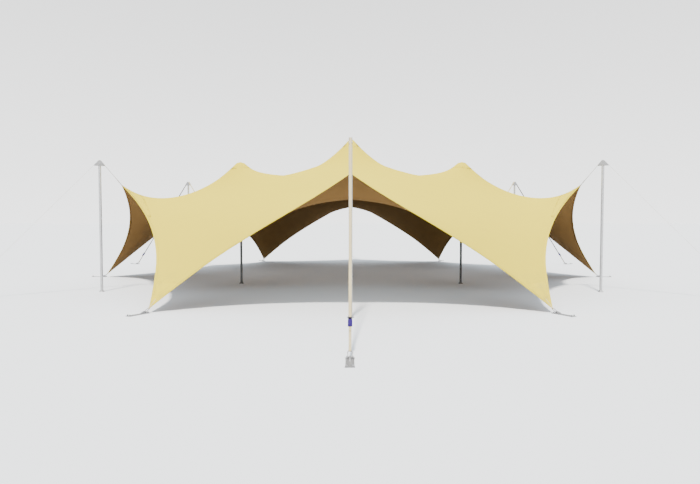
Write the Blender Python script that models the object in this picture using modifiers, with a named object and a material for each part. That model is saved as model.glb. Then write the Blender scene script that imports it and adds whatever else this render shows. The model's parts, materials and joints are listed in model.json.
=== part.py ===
"""Stretch tent: a six-pointed canopy held up by ten poles and pulled tight by six guys.

Metres, +Z up, the floor at z = 0, the king pole on the Z axis and the front of the tent
towards -Y. A spoke is a direction from the king pole, counted in steps of 60 degrees from
the front. Every spoke has a perimeter pole that lifts one corner of the canopy. The canopy
comes down to the ground half way between the spokes.
"""
import math

import bmesh
import bpy
import numpy as np
from mathutils import Matrix, Vector

# Driving dimensions of the tent
SPOKES = 6
POLE_CIRCLE = 6.58          # radius of the perimeter poles
HEAD_TOP = 2.985            # top of a perimeter pole's head
KING_HEIGHT = 3.95          # canopy over the king pole
INNER_CIRCLE = 3.28         # radius of the three interior poles
INNER_HEIGHT = 3.13         # canopy over an interior pole
INNER_SPOKES = (1, 3, 5)    # spokes that have an interior pole
RAISED_TIP = (6.12, 2.44)   # radius and height of a raised canopy corner
GROUND_TIP = (7.08, 0.08)   # radius and height of a canopy corner at the ground
GUY_FOOT = (9.22, 0.085)    # radius and height of the ring that a guy pulls on
SEAT_GAP = 0.0003           # gap between pieces that touch

# Canopy
CLOTH = 0.004               # thickness of the stretched cloth, measured upright
SECTORS = 72                # steps round the canopy
RINGS = 18                  # steps from the king pole to the edge
CROWN_RADIUS = 0.05         # flat top of the cloth over the king pole
CENTRE_RADIUS = 0.003       # the cloth's inmost ring
KNOB_RADIUS = 0.10          # cloth resting on an interior pole's head
KNOB_DROP = 0.03            # fall of the cloth from that head's centre to its rim
INNER_RING = 9              # ring of the net that lies on the interior poles
SEAM_SPOKES = (0, 2, 4)     # spokes along which the three cloth panels are joined

# Pull of the net, per unit of its own width
HOOP_PULL = 4.47
RADIAL_GROWTH = 3.40
CENTRE_SHARE = 0.10
HEM_PULL_RAISED = 0.51
HEM_PULL_GROUND = 0.17
RIDGE_PULL_BARE = 0.35
RIDGE_PULL_POLED = 0.43

# Poles
TUBE_RADIUS = 0.030
TUBE_SIDES = 16
FOOT_RADIUS = 0.062
FOOT_THICKNESS = 0.008
COLLAR_RADIUS = 0.037
COLLAR_HEIGHT = 0.040

# Saddle head of a perimeter pole
SADDLE_HEIGHT = 0.120
SADDLE_HALF_WIDTH = 0.030
SADDLE_NOSE = 0.036         # radius that the strap bends over
SADDLE_LIP = 0.016

# Webbing
WEB_HALF_WIDTH = 0.020
WEB_THICKNESS = 0.003

# Ring between a raised corner and its strap
LINK_LENGTH = 0.080
LINK_WIDTH = 0.056
LINK_BAR = 0.009
LINK_DEPTH = 0.008

# Ratchet, measured along the guy from its upper end
RATCHET_PLACE = 0.878       # share of the guy's length above the ratchet
FRAME_LENGTH = 0.140
FRAME_HALF_WIDTH = 0.0215
FRAME_BELOW = 0.010
FRAME_ABOVE = 0.022
FRAME_CORNER = 0.007
PIVOT_ALONG = 0.034
PIVOT_ABOVE = 0.012
PIVOT_RADIUS = 0.005
PIVOT_HALF_LENGTH = 0.0295
PIVOT_PLAY = 0.0005
HANDLE_LENGTH = 0.124
HANDLE_SIDE_GAP = 0.0035
HANDLE_PLATE = 0.003
HANDLE_HEIGHT = 0.014
HANDLE_GRIP = 0.013

# Ground anchor, measured outwards from the ring that is pulled on
PLATE_START = 0.020
PLATE_LENGTH = 0.420
PLATE_WIDTH = 0.115
PLATE_WAIST = 0.007         # each long side is drawn in by this in the middle
PLATE_THICKNESS = 0.008
LUG_START = 0.055
LUG_LENGTH = 0.150
LUG_HEIGHT = 0.046
LUG_HALF_THICKNESS = 0.008
BOW_BAR = 0.006
BOW_HALF_WIDTH = 0.026
BOW_FLAT = 0.0008           # the bow's flat sides lie this far inside its radius
BOW_PIN_ALONG = 0.082
BOW_PIN_RADIUS = 0.0075
BOW_PIN_HEIGHT = 0.030
STAKE_RADIUS = 0.013
STAKE_HEIGHT = 0.024
STAKE_INSET = 0.026


def clear_scene():
    for item in list(bpy.data.objects):
        bpy.data.objects.remove(item, do_unlink=True)


def new_collection(name):
    group = bpy.data.collections.new(name)
    bpy.context.scene.collection.children.link(group)
    return group


def make_material(name, colour, roughness, metallic):
    mat = bpy.data.materials.new(name)
    mat.use_nodes = True
    shader = mat.node_tree.nodes["Principled BSDF"]
    shader.inputs["Base Color"].default_value = (*colour, 1.0)
    shader.inputs["Roughness"].default_value = roughness
    shader.inputs["Metallic"].default_value = metallic
    return mat


def spoke_angle(step):
    """Turn about Z that brings local +X onto the spoke; step may be a half."""
    return math.radians(step * 360.0 / SPOKES - 90.0)


def on_spoke(radius, step, height):
    angle = spoke_angle(step)
    return Vector((radius * math.cos(angle), radius * math.sin(angle), height))


def place(name, data, mat, step=0.0, location=(0.0, 0.0, 0.0), tilt=0.0):
    """Adds a part. The location is radius, side and height on the spoke."""
    part = bpy.data.objects.new(name, data)
    if not data.materials:
        data.materials.append(mat)
    turn = spoke_angle(step)
    part.rotation_euler = (tilt, 0.0, turn)
    part.location = Matrix.Rotation(turn, 3, "Z") @ Vector(location)
    tent.objects.link(part)
    return part


def evaluated_mesh(source, name):
    """The mesh of an object as its modifiers or its curve settings make it."""
    bpy.context.view_layer.update()
    graph = bpy.context.evaluated_depsgraph_get()
    mesh = bpy.data.meshes.new_from_object(source.evaluated_get(graph))
    mesh.name = name
    mesh.transform(source.matrix_world)
    work = bmesh.new()
    work.from_mesh(mesh)
    bmesh.ops.remove_doubles(work, verts=work.verts, dist=0.00002)
    work.to_mesh(mesh)
    work.free()
    return mesh


def helper(data, location=(0.0, 0.0, 0.0), rotation=(0.0, 0.0, 0.0)):
    """A tool object that shapes parts and is left out of the tent itself."""
    item = bpy.data.objects.new("helper", data)
    item.location = location
    item.rotation_euler = rotation
    item.hide_render = True
    item.display_type = "WIRE"
    tools.objects.link(item)
    return item


def outline(points, half_thickness):
    """A flat closed outline in local XY, thickened both ways along Z."""
    curve = bpy.data.curves.new("outline", "CURVE")
    curve.dimensions = "2D"
    curve.fill_mode = "BOTH"
    curve.extrude = half_thickness
    spline = curve.splines.new("POLY")
    spline.points.add(len(points) - 1)
    for point, (x, y) in zip(spline.points, points):
        point.co = (x, y, 0.0, 1.0)
    spline.use_cyclic_u = True
    return curve


def rod(points, radius):
    """A round bar along a line of points, with filled ends."""
    curve = bpy.data.curves.new("rod", "CURVE")
    curve.dimensions = "3D"
    curve.bevel_depth = radius
    curve.bevel_resolution = 1
    curve.use_fill_caps = True
    spline = curve.splines.new("POLY")
    spline.points.add(len(points) - 1)
    for point, place_at in zip(spline.points, points):
        point.co = (*place_at, 1.0)
    return curve


def solid_from_curve(curve, rotation=(0.0, 0.0, 0.0)):
    item = helper(curve, rotation=rotation)
    mesh = evaluated_mesh(item, "solid")
    bpy.data.objects.remove(item)
    return mesh


def block(low, high):
    mesh = bpy.data.meshes.new("block")
    work = bmesh.new()
    bmesh.ops.create_cube(work, size=1.0)
    size = Vector(high) - Vector(low)
    centre = (Vector(high) + Vector(low)) / 2.0
    bmesh.ops.scale(work, vec=size, verts=work.verts)
    bmesh.ops.translate(work, vec=centre, verts=work.verts)
    work.to_mesh(mesh)
    work.free()
    return mesh


def drum(radius, depth, centre, across=False, sides=12):
    """A cylinder that stands on Z, or lies along Y when it runs across."""
    mesh = bpy.data.meshes.new("drum")
    work = bmesh.new()
    turn = Matrix.Rotation(math.radians(90.0), 4, "X") if across else Matrix.Identity(4)
    bmesh.ops.create_cone(work, cap_ends=True, segments=sides, radius1=radius,
                          radius2=radius, depth=depth,
                          matrix=Matrix.Translation(centre) @ turn)
    work.to_mesh(mesh)
    work.free()
    return mesh


def boolean_mesh(name, base, joined=(), cut=()):
    """One solid from several: the joined meshes are added and the others cut away."""
    body = helper(base)
    extras = []
    for operation, meshes in (("UNION", joined), ("DIFFERENCE", cut)):
        for mesh in meshes:
            extra = helper(mesh)
            extras.append(extra)
            modifier = body.modifiers.new(operation.title(), "BOOLEAN")
            modifier.operation = operation
            modifier.object = extra
    result = evaluated_mesh(body, name)
    for item in [body, *extras]:
        bpy.data.objects.remove(item)
    return result


def arc(centre, radius, start, end, steps):
    """Points on an arc, both ends included, angles in degrees."""
    points = []
    for step in range(steps + 1):
        angle = math.radians(start + (end - start) * step / steps)
        points.append((centre[0] + radius * math.cos(angle),
                       centre[1] + radius * math.sin(angle)))
    return points


def net_index(ring, sector):
    return ring * SECTORS + sector % SECTORS


def net_pulls():
    """Pairs of joined knots in the net and how hard each pair is pulled together."""
    shares = np.linspace(CENTRE_SHARE, 1.0, RINGS + 1)
    ring_step = (1.0 - CENTRE_SHARE) / RINGS
    turn_step = 2.0 * math.pi / SECTORS
    per_spoke = SECTORS // SPOKES
    pulls = []
    for ring in range(RINGS):
        share = (shares[ring] + shares[ring + 1]) / 2.0
        grown = share ** RADIAL_GROWTH / ring_step
        for sector in range(SECTORS):
            pull = grown * turn_step
            if sector % per_spoke == 0:
                poled = sector // per_spoke in INNER_SPOKES
                pull += grown * (RIDGE_PULL_POLED if poled else RIDGE_PULL_BARE)
            pulls.append((net_index(ring, sector), net_index(ring + 1, sector), pull))
    for ring in range(1, RINGS):
        hoop = HOOP_PULL * shares[ring] ** (RADIAL_GROWTH - 2.0) * ring_step / turn_step
        for sector in range(SECTORS):
            pulls.append((net_index(ring, sector), net_index(ring, sector + 1), hoop))
    for sector in range(SECTORS):
        along = (sector + 0.5) % per_spoke / per_spoke
        groundward = 1.0 - abs(2.0 * along - 1.0)
        hem = HEM_PULL_RAISED * (1.0 - groundward) + HEM_PULL_GROUND * groundward
        pull = 0.5 * HOOP_PULL * ring_step / turn_step + hem / turn_step
        pulls.append((net_index(RINGS, sector), net_index(RINGS, sector + 1), pull))
    return pulls


def held_knots():
    """Knots of the net that the poles and the corners hold, and where."""
    held = {}
    per_spoke = SECTORS // SPOKES
    for sector in range(SECTORS):
        held[net_index(0, sector)] = on_spoke(CROWN_RADIUS, sector / per_spoke, KING_HEIGHT)
    for step in range(SPOKES):
        raised = net_index(RINGS, step * per_spoke)
        ground = net_index(RINGS, step * per_spoke + per_spoke // 2)
        held[raised] = on_spoke(RAISED_TIP[0], step, RAISED_TIP[1])
        held[ground] = on_spoke(GROUND_TIP[0], step + 0.5, GROUND_TIP[1])
    for step in INNER_SPOKES:
        top = on_spoke(INNER_CIRCLE, step, INNER_HEIGHT)
        turn = Matrix.Rotation(spoke_angle(step), 3, "Z")
        for outward in (-1, 0, 1):
            for sideways in (-1, 0, 1):
                knot = net_index(INNER_RING + outward, step * per_spoke + sideways)
                away = Vector((outward, sideways, 0.0))
                held[knot] = top.copy()
                if away.length > 0.0:
                    rim = turn @ away.normalized() * KNOB_RADIUS
                    held[knot] = top + rim - Vector((0.0, 0.0, KNOB_DROP))
    return held


def relaxed_net():
    """Rest places of all knots, where the pulls on each free knot cancel out."""
    count = (RINGS + 1) * SECTORS
    balance = np.zeros((count, count))
    for first, second, pull in net_pulls():
        balance[first, first] += pull
        balance[second, second] += pull
        balance[first, second] -= pull
        balance[second, first] -= pull
    held = held_knots()
    fixed = np.array(sorted(held))
    free = np.setdiff1d(np.arange(count), fixed)
    places = np.zeros((count, 3))
    places[fixed] = [tuple(held[knot]) for knot in fixed]
    load = -balance[np.ix_(free, fixed)] @ places[fixed]
    places[free] = np.linalg.solve(balance[np.ix_(free, free)], load)
    return places.reshape(RINGS + 1, SECTORS, 3)


def canopy_panel(name, net, first_sector, mat):
    """A third of the canopy as one closed piece of cloth, seam to seam."""
    wide = SECTORS // len(SEAM_SPOKES)
    work = bmesh.new()
    bmesh.ops.create_grid(work, x_segments=wide, y_segments=RINGS + 1, size=1.0)
    for vert in work.verts:
        across = round((vert.co.x + 1.0) / 2.0 * wide)
        ring = round((vert.co.y + 1.0) / 2.0 * (RINGS + 1)) - 1
        sector = (first_sector + across) % SECTORS
        spot = Vector(net[max(ring, 0), sector])
        if ring < 0:
            spot *= CENTRE_RADIUS / CROWN_RADIUS
            spot.z = KING_HEIGHT
        if across in (0, wide):
            inward = 1.0 if across == 0 else -1.0
            angle = spoke_angle(sector * SPOKES / SECTORS)
            side = Vector((-math.sin(angle), math.cos(angle), 0.0))
            spot += side * inward * SEAT_GAP / 2.0
        vert.co = spot
    skin = bmesh.ops.extrude_face_region(work, geom=work.faces[:])
    lower = [item for item in skin["geom"] if isinstance(item, bmesh.types.BMVert)]
    bmesh.ops.translate(work, vec=(0.0, 0.0, -CLOTH), verts=lower)
    bmesh.ops.recalc_face_normals(work, faces=work.faces)
    mesh = bpy.data.meshes.new(name)
    work.to_mesh(mesh)
    work.free()
    mesh.shade_smooth()
    mesh.set_sharp_from_angle(angle=math.radians(60.0))
    part = bpy.data.objects.new(name, mesh)
    mesh.materials.append(mat)
    tent.objects.link(part)
    return part


def turned(name, profile, mat, step=0.0, radius=0.0):
    """A round piece from a profile of radius and height, listed top to bottom."""
    mesh = bpy.data.meshes.new(name)
    work = bmesh.new()
    verts = [work.verts.new((x, 0.0, z)) for x, z in profile]
    for upper, lower in zip(verts, verts[1:]):
        work.edges.new((upper, lower))
    work.to_mesh(mesh)
    work.free()
    part = place(name, mesh, mat, step=step, location=(radius, 0.0, 0.0))
    screw = part.modifiers.new("Turn", "SCREW")
    screw.steps = TUBE_SIDES
    screw.render_steps = TUBE_SIDES
    screw.use_merge_vertices = True
    screw.merge_threshold = 0.00005
    screw.use_smooth_shade = True
    return part


def foot_profile():
    """The foot plate and its weld collar, from the tube down to the floor."""
    return [(COLLAR_RADIUS, COLLAR_HEIGHT), (COLLAR_RADIUS, FOOT_THICKNESS),
            (FOOT_RADIUS, FOOT_THICKNESS), (FOOT_RADIUS, 0.0), (0.0, 0.0)]


def perimeter_pole(number, step, mat):
    top = HEAD_TOP - SADDLE_HEIGHT - SEAT_GAP
    profile = [(0.0, top), (TUBE_RADIUS, top), (TUBE_RADIUS, COLLAR_HEIGHT), *foot_profile()]
    return turned(f"perimeter_pole_{number}", profile, mat, step=step, radius=POLE_CIRCLE)


def interior_pole(name, step, radius, cloth_top, rim, fall, mat):
    """A pole with a knob head of radius rim; fall is its drop per metre of that radius."""
    top = cloth_top - CLOTH - SEAT_GAP
    shoulder = top - fall * rim
    profile = [(0.0, top), (rim * 0.5, top - fall * rim * 0.5), (rim * 0.9, shoulder - 0.004),
               (rim, shoulder - 0.018), (rim * 0.9, shoulder - 0.034),
               (COLLAR_RADIUS, shoulder - 0.044), (COLLAR_RADIUS, shoulder - 0.110),
               (TUBE_RADIUS, shoulder - 0.114), (TUBE_RADIUS, COLLAR_HEIGHT), *foot_profile()]
    return turned(name, profile, mat, step=step, radius=radius)


def tangent_angle(point, centre, radius, side):
    """Direction in degrees from an arc's centre to where a line from point touches it."""
    away = Vector((point[0] - centre[0], point[1] - centre[1]))
    lean = math.degrees(math.acos(radius / away.length))
    return math.degrees(math.atan2(away.y, away.x)) + side * lean


NOSE_CENTRE = (POLE_CIRCLE, HEAD_TOP - SADDLE_NOSE)


def strap_bends():
    """Angles on the saddle's nose where the strap leaves it, outer side then inner."""
    radius = SADDLE_NOSE + SEAT_GAP + WEB_THICKNESS / 2.0
    outer = tangent_angle(GUY_FOOT, NOSE_CENTRE, radius, 1.0)
    inner = tangent_angle(RAISED_TIP, NOSE_CENTRE, radius, -1.0) % 360.0
    return outer, inner


def guy_line():
    """Start and unit direction of the guy below the saddle, in radius and height."""
    outer, _ = strap_bends()
    radius = SADDLE_NOSE + SEAT_GAP + WEB_THICKNESS / 2.0
    start = Vector(arc(NOSE_CENTRE, radius, outer, outer, 1)[0])
    run = Vector(GUY_FOOT) - start
    return start, run.normalized(), run.length


def saddle_outline():
    """The head seen from the side: two sloping flanks under the strap and a round nose."""
    outer, inner = strap_bends()
    base = HEAD_TOP - SADDLE_HEIGHT
    lip = base + SADDLE_LIP
    nose = arc(NOSE_CENTRE, SADDLE_NOSE, outer, inner, 8)
    outer_end = nose[0][0] + (lip - nose[0][1]) / math.tan(math.radians(outer - 90.0))
    inner_end = nose[-1][0] + (lip - nose[-1][1]) / math.tan(math.radians(inner + 90.0))
    return [(inner_end, base), (outer_end, base), (outer_end, lip), *nose, (inner_end, lip)]


def pole_head(number, step, mat):
    curve = outline(saddle_outline(), SADDLE_HALF_WIDTH)
    return place(f"pole_head_{number}", curve, mat, step=step, tilt=math.radians(90.0))


def guy_strap(number, step, mat):
    """Webbing from the link ring up over the saddle and down to the ratchet."""
    outer, inner = strap_bends()
    inside = SADDLE_NOSE + SEAT_GAP
    outside = inside + WEB_THICKNESS
    start, run, length = guy_line()
    lower = start + run * (length * RATCHET_PLACE - SEAT_GAP)
    side = Vector((-run.y, run.x)) * WEB_THICKNESS / 2.0
    tip = Vector(RAISED_TIP)
    rise = Vector(arc(NOSE_CENTRE, inside + WEB_THICKNESS / 2.0, inner, inner, 1)[0]) - tip
    rise.normalize()
    upper = tip + rise * (LINK_LENGTH + 2.0 * SEAT_GAP)
    across = Vector((-rise.y, rise.x)) * WEB_THICKNESS / 2.0
    points = [tuple(lower - side), tuple(lower + side)]
    points.extend(arc(NOSE_CENTRE, outside, outer, inner, 8))
    points.extend([tuple(upper + across), tuple(upper - across)])
    points.extend(arc(NOSE_CENTRE, inside, inner, outer, 8))
    curve = outline(points, WEB_HALF_WIDTH)
    return place(f"guy_strap_{number}", curve, mat, step=step, tilt=math.radians(90.0))


def link_mesh():
    """An oblong ring that lies along +X, with its near end at the origin."""
    half = LINK_WIDTH / 2.0
    outer = block((0.0, -half, -LINK_DEPTH / 2.0), (LINK_LENGTH, half, LINK_DEPTH / 2.0))
    inner = block((LINK_BAR, LINK_BAR - half, -LINK_DEPTH),
                  (LINK_LENGTH - LINK_BAR, half - LINK_BAR, LINK_DEPTH))
    return boolean_mesh("link", outer, cut=[inner])


def corner_link(number, step, mesh, mat):
    _, inner = strap_bends()
    angle = math.radians(inner - 90.0)
    name = f"corner_link_{number}"
    part = place(name, mesh, mat, step=step,
                 location=(RAISED_TIP[0] + SEAT_GAP * math.cos(angle), 0.0,
                           RAISED_TIP[1] + SEAT_GAP * math.sin(angle)))
    part.rotation_euler = (0.0, -angle, spoke_angle(step))
    return part


def frame_outline():
    """Side of the ratchet frame, along the guy and away from it, corners cut."""
    cut = FRAME_CORNER
    return [(0.0, -FRAME_BELOW + cut), (cut, -FRAME_BELOW), (FRAME_LENGTH - cut, -FRAME_BELOW),
            (FRAME_LENGTH, -FRAME_BELOW + cut), (FRAME_LENGTH, FRAME_ABOVE * 0.3),
            (FRAME_LENGTH - 3.0 * cut, FRAME_ABOVE * 0.75), (PIVOT_ALONG * 2.0, FRAME_ABOVE * 0.75),
            (PIVOT_ALONG + cut, FRAME_ABOVE), (cut, FRAME_ABOVE), (0.0, FRAME_ABOVE - cut)]


def ratchet_mesh():
    """Frame, spool pin and the short strap sewn to it, with +X down along the guy."""
    _, _, length = guy_line()
    upright = (math.radians(90.0), 0.0, 0.0)
    frame = solid_from_curve(outline(frame_outline(), FRAME_HALF_WIDTH), upright)
    pin = drum(PIVOT_RADIUS, 2.0 * PIVOT_HALF_LENGTH, (PIVOT_ALONG, 0.0, PIVOT_ABOVE), True)
    reach = length * (1.0 - RATCHET_PLACE) - SEAT_GAP + BOW_FLAT
    half = WEB_THICKNESS / 2.0
    tail = block((FRAME_LENGTH - 0.02, -WEB_HALF_WIDTH, -half), (reach, WEB_HALF_WIDTH, half))
    return boolean_mesh("ratchet", frame, joined=[pin, tail])


def handle_mesh():
    """A U of flat plate round the frame, with its pivot holes at the origin."""
    inside = FRAME_HALF_WIDTH + HANDLE_SIDE_GAP
    outside = inside + HANDLE_PLATE
    back = -HANDLE_HEIGHT / 2.0
    front = HANDLE_LENGTH
    points = [(back, -outside), (front - 0.01, -outside), (front, -outside + 0.01),
              (front, outside - 0.01), (front - 0.01, outside), (back, outside), (back, inside),
              (front - HANDLE_GRIP, inside), (front - HANDLE_GRIP, -inside), (back, -inside)]
    plate = solid_from_curve(outline(points, HANDLE_HEIGHT / 2.0))
    hole = drum(PIVOT_RADIUS + PIVOT_PLAY, 4.0 * outside, (0.0, 0.0, 0.0), True)
    return boolean_mesh("handle", plate, cut=[hole])


def along_guy(step, along, above):
    """Place and pitch of a piece that lies on the guy."""
    start, run, length = guy_line()
    lift = Vector((-run.y, run.x))
    spot = start + run * (length * RATCHET_PLACE + along) + lift * above
    return (spot.x, 0.0, spot.y), -math.atan2(run.y, run.x)


def ratchet(number, step, mesh, mat):
    spot, pitch = along_guy(step, 0.0, 0.0)
    part = place(f"ratchet_{number}", mesh, mat, step=step, location=spot)
    part.rotation_euler = (0.0, pitch, spoke_angle(step))
    return part


def ratchet_handle(number, step, mesh, mat):
    spot, pitch = along_guy(step, PIVOT_ALONG, PIVOT_ABOVE)
    part = place(f"ratchet_handle_{number}", mesh, mat, step=step, location=spot)
    part.rotation_euler = (0.0, pitch, spoke_angle(step))
    return part


def lug_outline():
    """The upright lug in the middle of an anchor, a low ridge with a flat top."""
    low = PLATE_THICKNESS / 2.0
    start = LUG_START
    end = LUG_START + LUG_LENGTH
    return [(start, low), (end, low), (start + LUG_LENGTH * 0.62, LUG_HEIGHT * 0.8),
            (start + LUG_LENGTH * 0.30, LUG_HEIGHT), (start + LUG_LENGTH * 0.12, LUG_HEIGHT * 0.9)]


def plate_outline():
    """The anchor's plate seen from above, its long sides drawn in between the stakes."""
    half = PLATE_WIDTH / 2.0
    near = PLATE_START
    far = PLATE_START + PLATE_LENGTH
    waist = half - PLATE_WAIST
    edge = PLATE_LENGTH * 0.22
    return [(near, -half), (near + edge, -waist), (far - edge, -waist), (far, -half),
            (far, half), (far - edge, waist), (near + edge, waist), (near, half)]


def anchor_mesh(height):
    """Ground plate with a lug, a shackle bow up to the pulled ring and stake heads.

    The origin is on the floor under the bow's end, which is at the given height.
    """
    upright = (math.radians(90.0), 0.0, 0.0)
    half = PLATE_WIDTH / 2.0
    plate = solid_from_curve(outline(plate_outline(), PLATE_THICKNESS / 2.0))
    plate.transform(Matrix.Translation((0.0, 0.0, PLATE_THICKNESS / 2.0)))
    lug = solid_from_curve(outline(lug_outline(), LUG_HALF_THICKNESS), upright)
    pin = drum(BOW_PIN_RADIUS, 2.0 * (BOW_HALF_WIDTH + 2.0 * BOW_BAR),
               (BOW_PIN_ALONG, 0.0, BOW_PIN_HEIGHT), True, sides=8)
    ahead = Vector((-BOW_PIN_ALONG, 0.0, height - BOW_PIN_HEIGHT)).normalized()
    crown = Vector((0.0, 0.0, height)) - ahead * BOW_BAR
    eye = Vector((BOW_PIN_ALONG, 0.0, BOW_PIN_HEIGHT))
    side = Vector((0.0, BOW_HALF_WIDTH, 0.0))
    bend = ahead * BOW_HALF_WIDTH * 0.7
    path = [eye - side, crown - side - bend, crown - side * 0.6, crown + side * 0.6,
            crown + side - bend, eye + side]
    bow = solid_from_curve(rod(path, BOW_BAR))
    stakes = []
    for along in (PLATE_START + STAKE_INSET, PLATE_START + PLATE_LENGTH - STAKE_INSET):
        for across in (-half + STAKE_INSET, half - STAKE_INSET):
            middle = (along, across, PLATE_THICKNESS / 2.0 + STAKE_HEIGHT / 2.0)
            stakes.append(drum(STAKE_RADIUS, STAKE_HEIGHT + PLATE_THICKNESS / 2.0, middle, sides=6))
    return boolean_mesh("anchor", plate, joined=[lug, pin, bow, *stakes])


clear_scene()
tent = new_collection("stretch_tent")
tools = new_collection("tools")

cloth = make_material("canopy_cloth", (0.73, 0.65, 0.38), 0.75, 0.0)
tube_metal = make_material("pole_metal", (0.55, 0.55, 0.56), 0.35, 0.9)
head_metal = make_material("head_metal", (0.42, 0.42, 0.43), 0.4, 0.9)
steel = make_material("galvanised_steel", (0.48, 0.48, 0.49), 0.5, 0.9)
webbing = make_material("webbing", (0.80, 0.76, 0.66), 0.8, 0.0)
ratchet_paint = make_material("ratchet_paint", (0.07, 0.05, 0.38), 0.4, 0.3)

cloth_net = relaxed_net()
for panel, seam in zip(("right", "rear", "left"), SEAM_SPOKES):
    canopy_panel(f"canopy_{panel}", cloth_net, seam * SECTORS // SPOKES, cloth)

interior_pole("king_pole", 0.0, 0.0, KING_HEIGHT, CROWN_RADIUS * 0.94, 0.0, tube_metal)
for order, spoke in enumerate(INNER_SPOKES, start=1):
    slope = KNOB_DROP / KNOB_RADIUS / math.cos(math.radians(45.0))
    interior_pole(f"interior_pole_{order}", spoke, INNER_CIRCLE, INNER_HEIGHT,
                  KNOB_RADIUS * 0.72, slope, tube_metal)

ring_shape = link_mesh()
ratchet_shape = ratchet_mesh()
handle_shape = handle_mesh()
guy_anchor_shape = anchor_mesh(GUY_FOOT[1])
corner_anchor_shape = anchor_mesh(GROUND_TIP[1])

for spoke in range(SPOKES):
    label = spoke + 1
    perimeter_pole(label, spoke, tube_metal)
    pole_head(label, spoke, head_metal)
    guy_strap(label, spoke, webbing)
    corner_link(label, spoke, ring_shape, steel)
    ratchet(label, spoke, ratchet_shape, ratchet_paint)
    ratchet_handle(label, spoke, handle_shape, ratchet_paint)
    place(f"guy_anchor_{label}", guy_anchor_shape, steel, step=spoke,
          location=(GUY_FOOT[0], 0.0, 0.0))
    place(f"corner_anchor_{label}", corner_anchor_shape, steel, step=spoke + 0.5,
          location=(GROUND_TIP[0], 0.0, 0.0))
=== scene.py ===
# %% [markdown]
# # A stretch tent, dressed piece by piece
# The tent's poles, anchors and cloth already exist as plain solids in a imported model.
# This script loads them as a frame that never moves, and adds what the eye expects:
# one continuous stretched cloth with hems and seams, woven straps, working ratchets and
# metal that looks handled. Everything is in metres with the floor at z = 0, the king pole
# on the Z axis and the front of the tent towards -Y.

import json
import math

import bmesh
import bpy
import numpy as np
from mathutils import Matrix, Vector

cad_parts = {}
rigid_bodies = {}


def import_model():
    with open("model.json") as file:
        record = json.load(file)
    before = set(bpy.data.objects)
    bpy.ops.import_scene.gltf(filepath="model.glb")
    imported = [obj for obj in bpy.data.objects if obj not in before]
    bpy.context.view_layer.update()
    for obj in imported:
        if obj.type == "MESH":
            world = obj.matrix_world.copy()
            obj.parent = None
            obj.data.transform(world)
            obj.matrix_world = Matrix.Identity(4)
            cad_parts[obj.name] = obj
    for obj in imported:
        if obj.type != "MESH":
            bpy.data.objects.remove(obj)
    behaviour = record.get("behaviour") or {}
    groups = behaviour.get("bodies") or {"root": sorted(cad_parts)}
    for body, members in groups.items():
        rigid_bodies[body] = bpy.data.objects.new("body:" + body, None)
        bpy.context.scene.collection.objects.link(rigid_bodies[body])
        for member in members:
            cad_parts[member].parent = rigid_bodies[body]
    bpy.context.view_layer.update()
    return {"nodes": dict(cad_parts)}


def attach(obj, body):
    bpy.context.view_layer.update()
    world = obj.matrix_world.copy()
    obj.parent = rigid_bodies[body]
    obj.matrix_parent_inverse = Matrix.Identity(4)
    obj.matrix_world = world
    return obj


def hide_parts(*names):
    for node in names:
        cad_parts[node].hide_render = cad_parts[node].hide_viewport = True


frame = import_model()

# %% [markdown]
# ## The camera
# A photograph fixes where the camera stood. This one looks along +Y from eye height, a
# little downwards. Setting it up first means that every later choice can be judged from
# the same place. The lens is in millimetres on a 36 mm wide sensor.

# %% Camera
EYE = (0.022, -15.469, 1.6)
LOOK_DOWN = 2.18
LOOK_LEFT = 0.20
LENS = 27.53

eye = bpy.data.objects.new("camera", bpy.data.cameras.new("camera"))
eye.data.lens = LENS
eye.data.sensor_width = 36.0
eye.location = EYE
eye.rotation_euler = (math.radians(90.0 - LOOK_DOWN), 0.0, math.radians(LOOK_LEFT))
bpy.context.scene.collection.objects.link(eye)
bpy.context.scene.camera = eye
print("camera at", EYE, "lens", LENS)

# %% [markdown]
# ## Small helpers
# Materials in Blender are graphs of nodes. One helper adds a node and plugs in its
# inputs, by name or by number, so that a material reads as a short list. Shorter ones make
# the nodes that come back most often: sums, ranges, mixed colours, noise and bump. The last
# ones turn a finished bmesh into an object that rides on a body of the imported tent, and
# give a sheet its thickness.

# %% Helpers for nodes
UP = Vector((0.0, 0.0, 1.0))
scene_objects = bpy.context.scene.collection.objects


def plug(tree, node, inputs):
    """Sets a node's inputs. An input is a number, a colour or another node's output socket."""
    for key, value in inputs.items():
        if isinstance(value, bpy.types.NodeSocket):
            tree.links.new(value, node.inputs[key])
        else:
            node.inputs[key].default_value = value
    return node


def add(tree, kind, inputs=None, **settings):
    """Adds a node of a kind, with its settings and its inputs."""
    node = tree.nodes.new("ShaderNode" + kind)
    for name, value in settings.items():
        setattr(node, name, value)
    return plug(tree, node, inputs or {})


def calc(tree, operation, first, second=0.0):
    """The output of a Math node."""
    return add(tree, "Math", {0: first, 1: second}, operation=operation).outputs[0]


def times(tree, first, second):
    """One value times another."""
    return calc(tree, "MULTIPLY", first, second)


def ramp(tree, value, low, high, to_low=0.0, to_high=1.0):
    """Stretches a value's range from low..high to to_low..to_high, and holds it there."""
    node = add(tree, "MapRange", {0: value, 1: low, 2: high, 3: to_low, 4: to_high})
    return node.outputs[0]


def mix_colour(tree, share, first, second):
    """Two colours, or their sockets, mixed by a share."""
    node = add(tree, "Mix", {0: share, 6: first, 7: second}, data_type="RGBA")
    return node.outputs[2]


# %% Helpers for textures and groups
def noise(tree, vector, scale, detail=2.0, roughness=0.5):
    """The value of a noise texture."""
    inputs = {"Vector": vector, "Scale": scale, "Detail": detail, "Roughness": roughness}
    return add(tree, "TexNoise", inputs).outputs["Fac"]


def scaled(tree, vector, scale):
    """A vector with its three axes scaled."""
    return add(tree, "Mapping", {"Vector": vector, "Scale": scale}).outputs[0]


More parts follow.
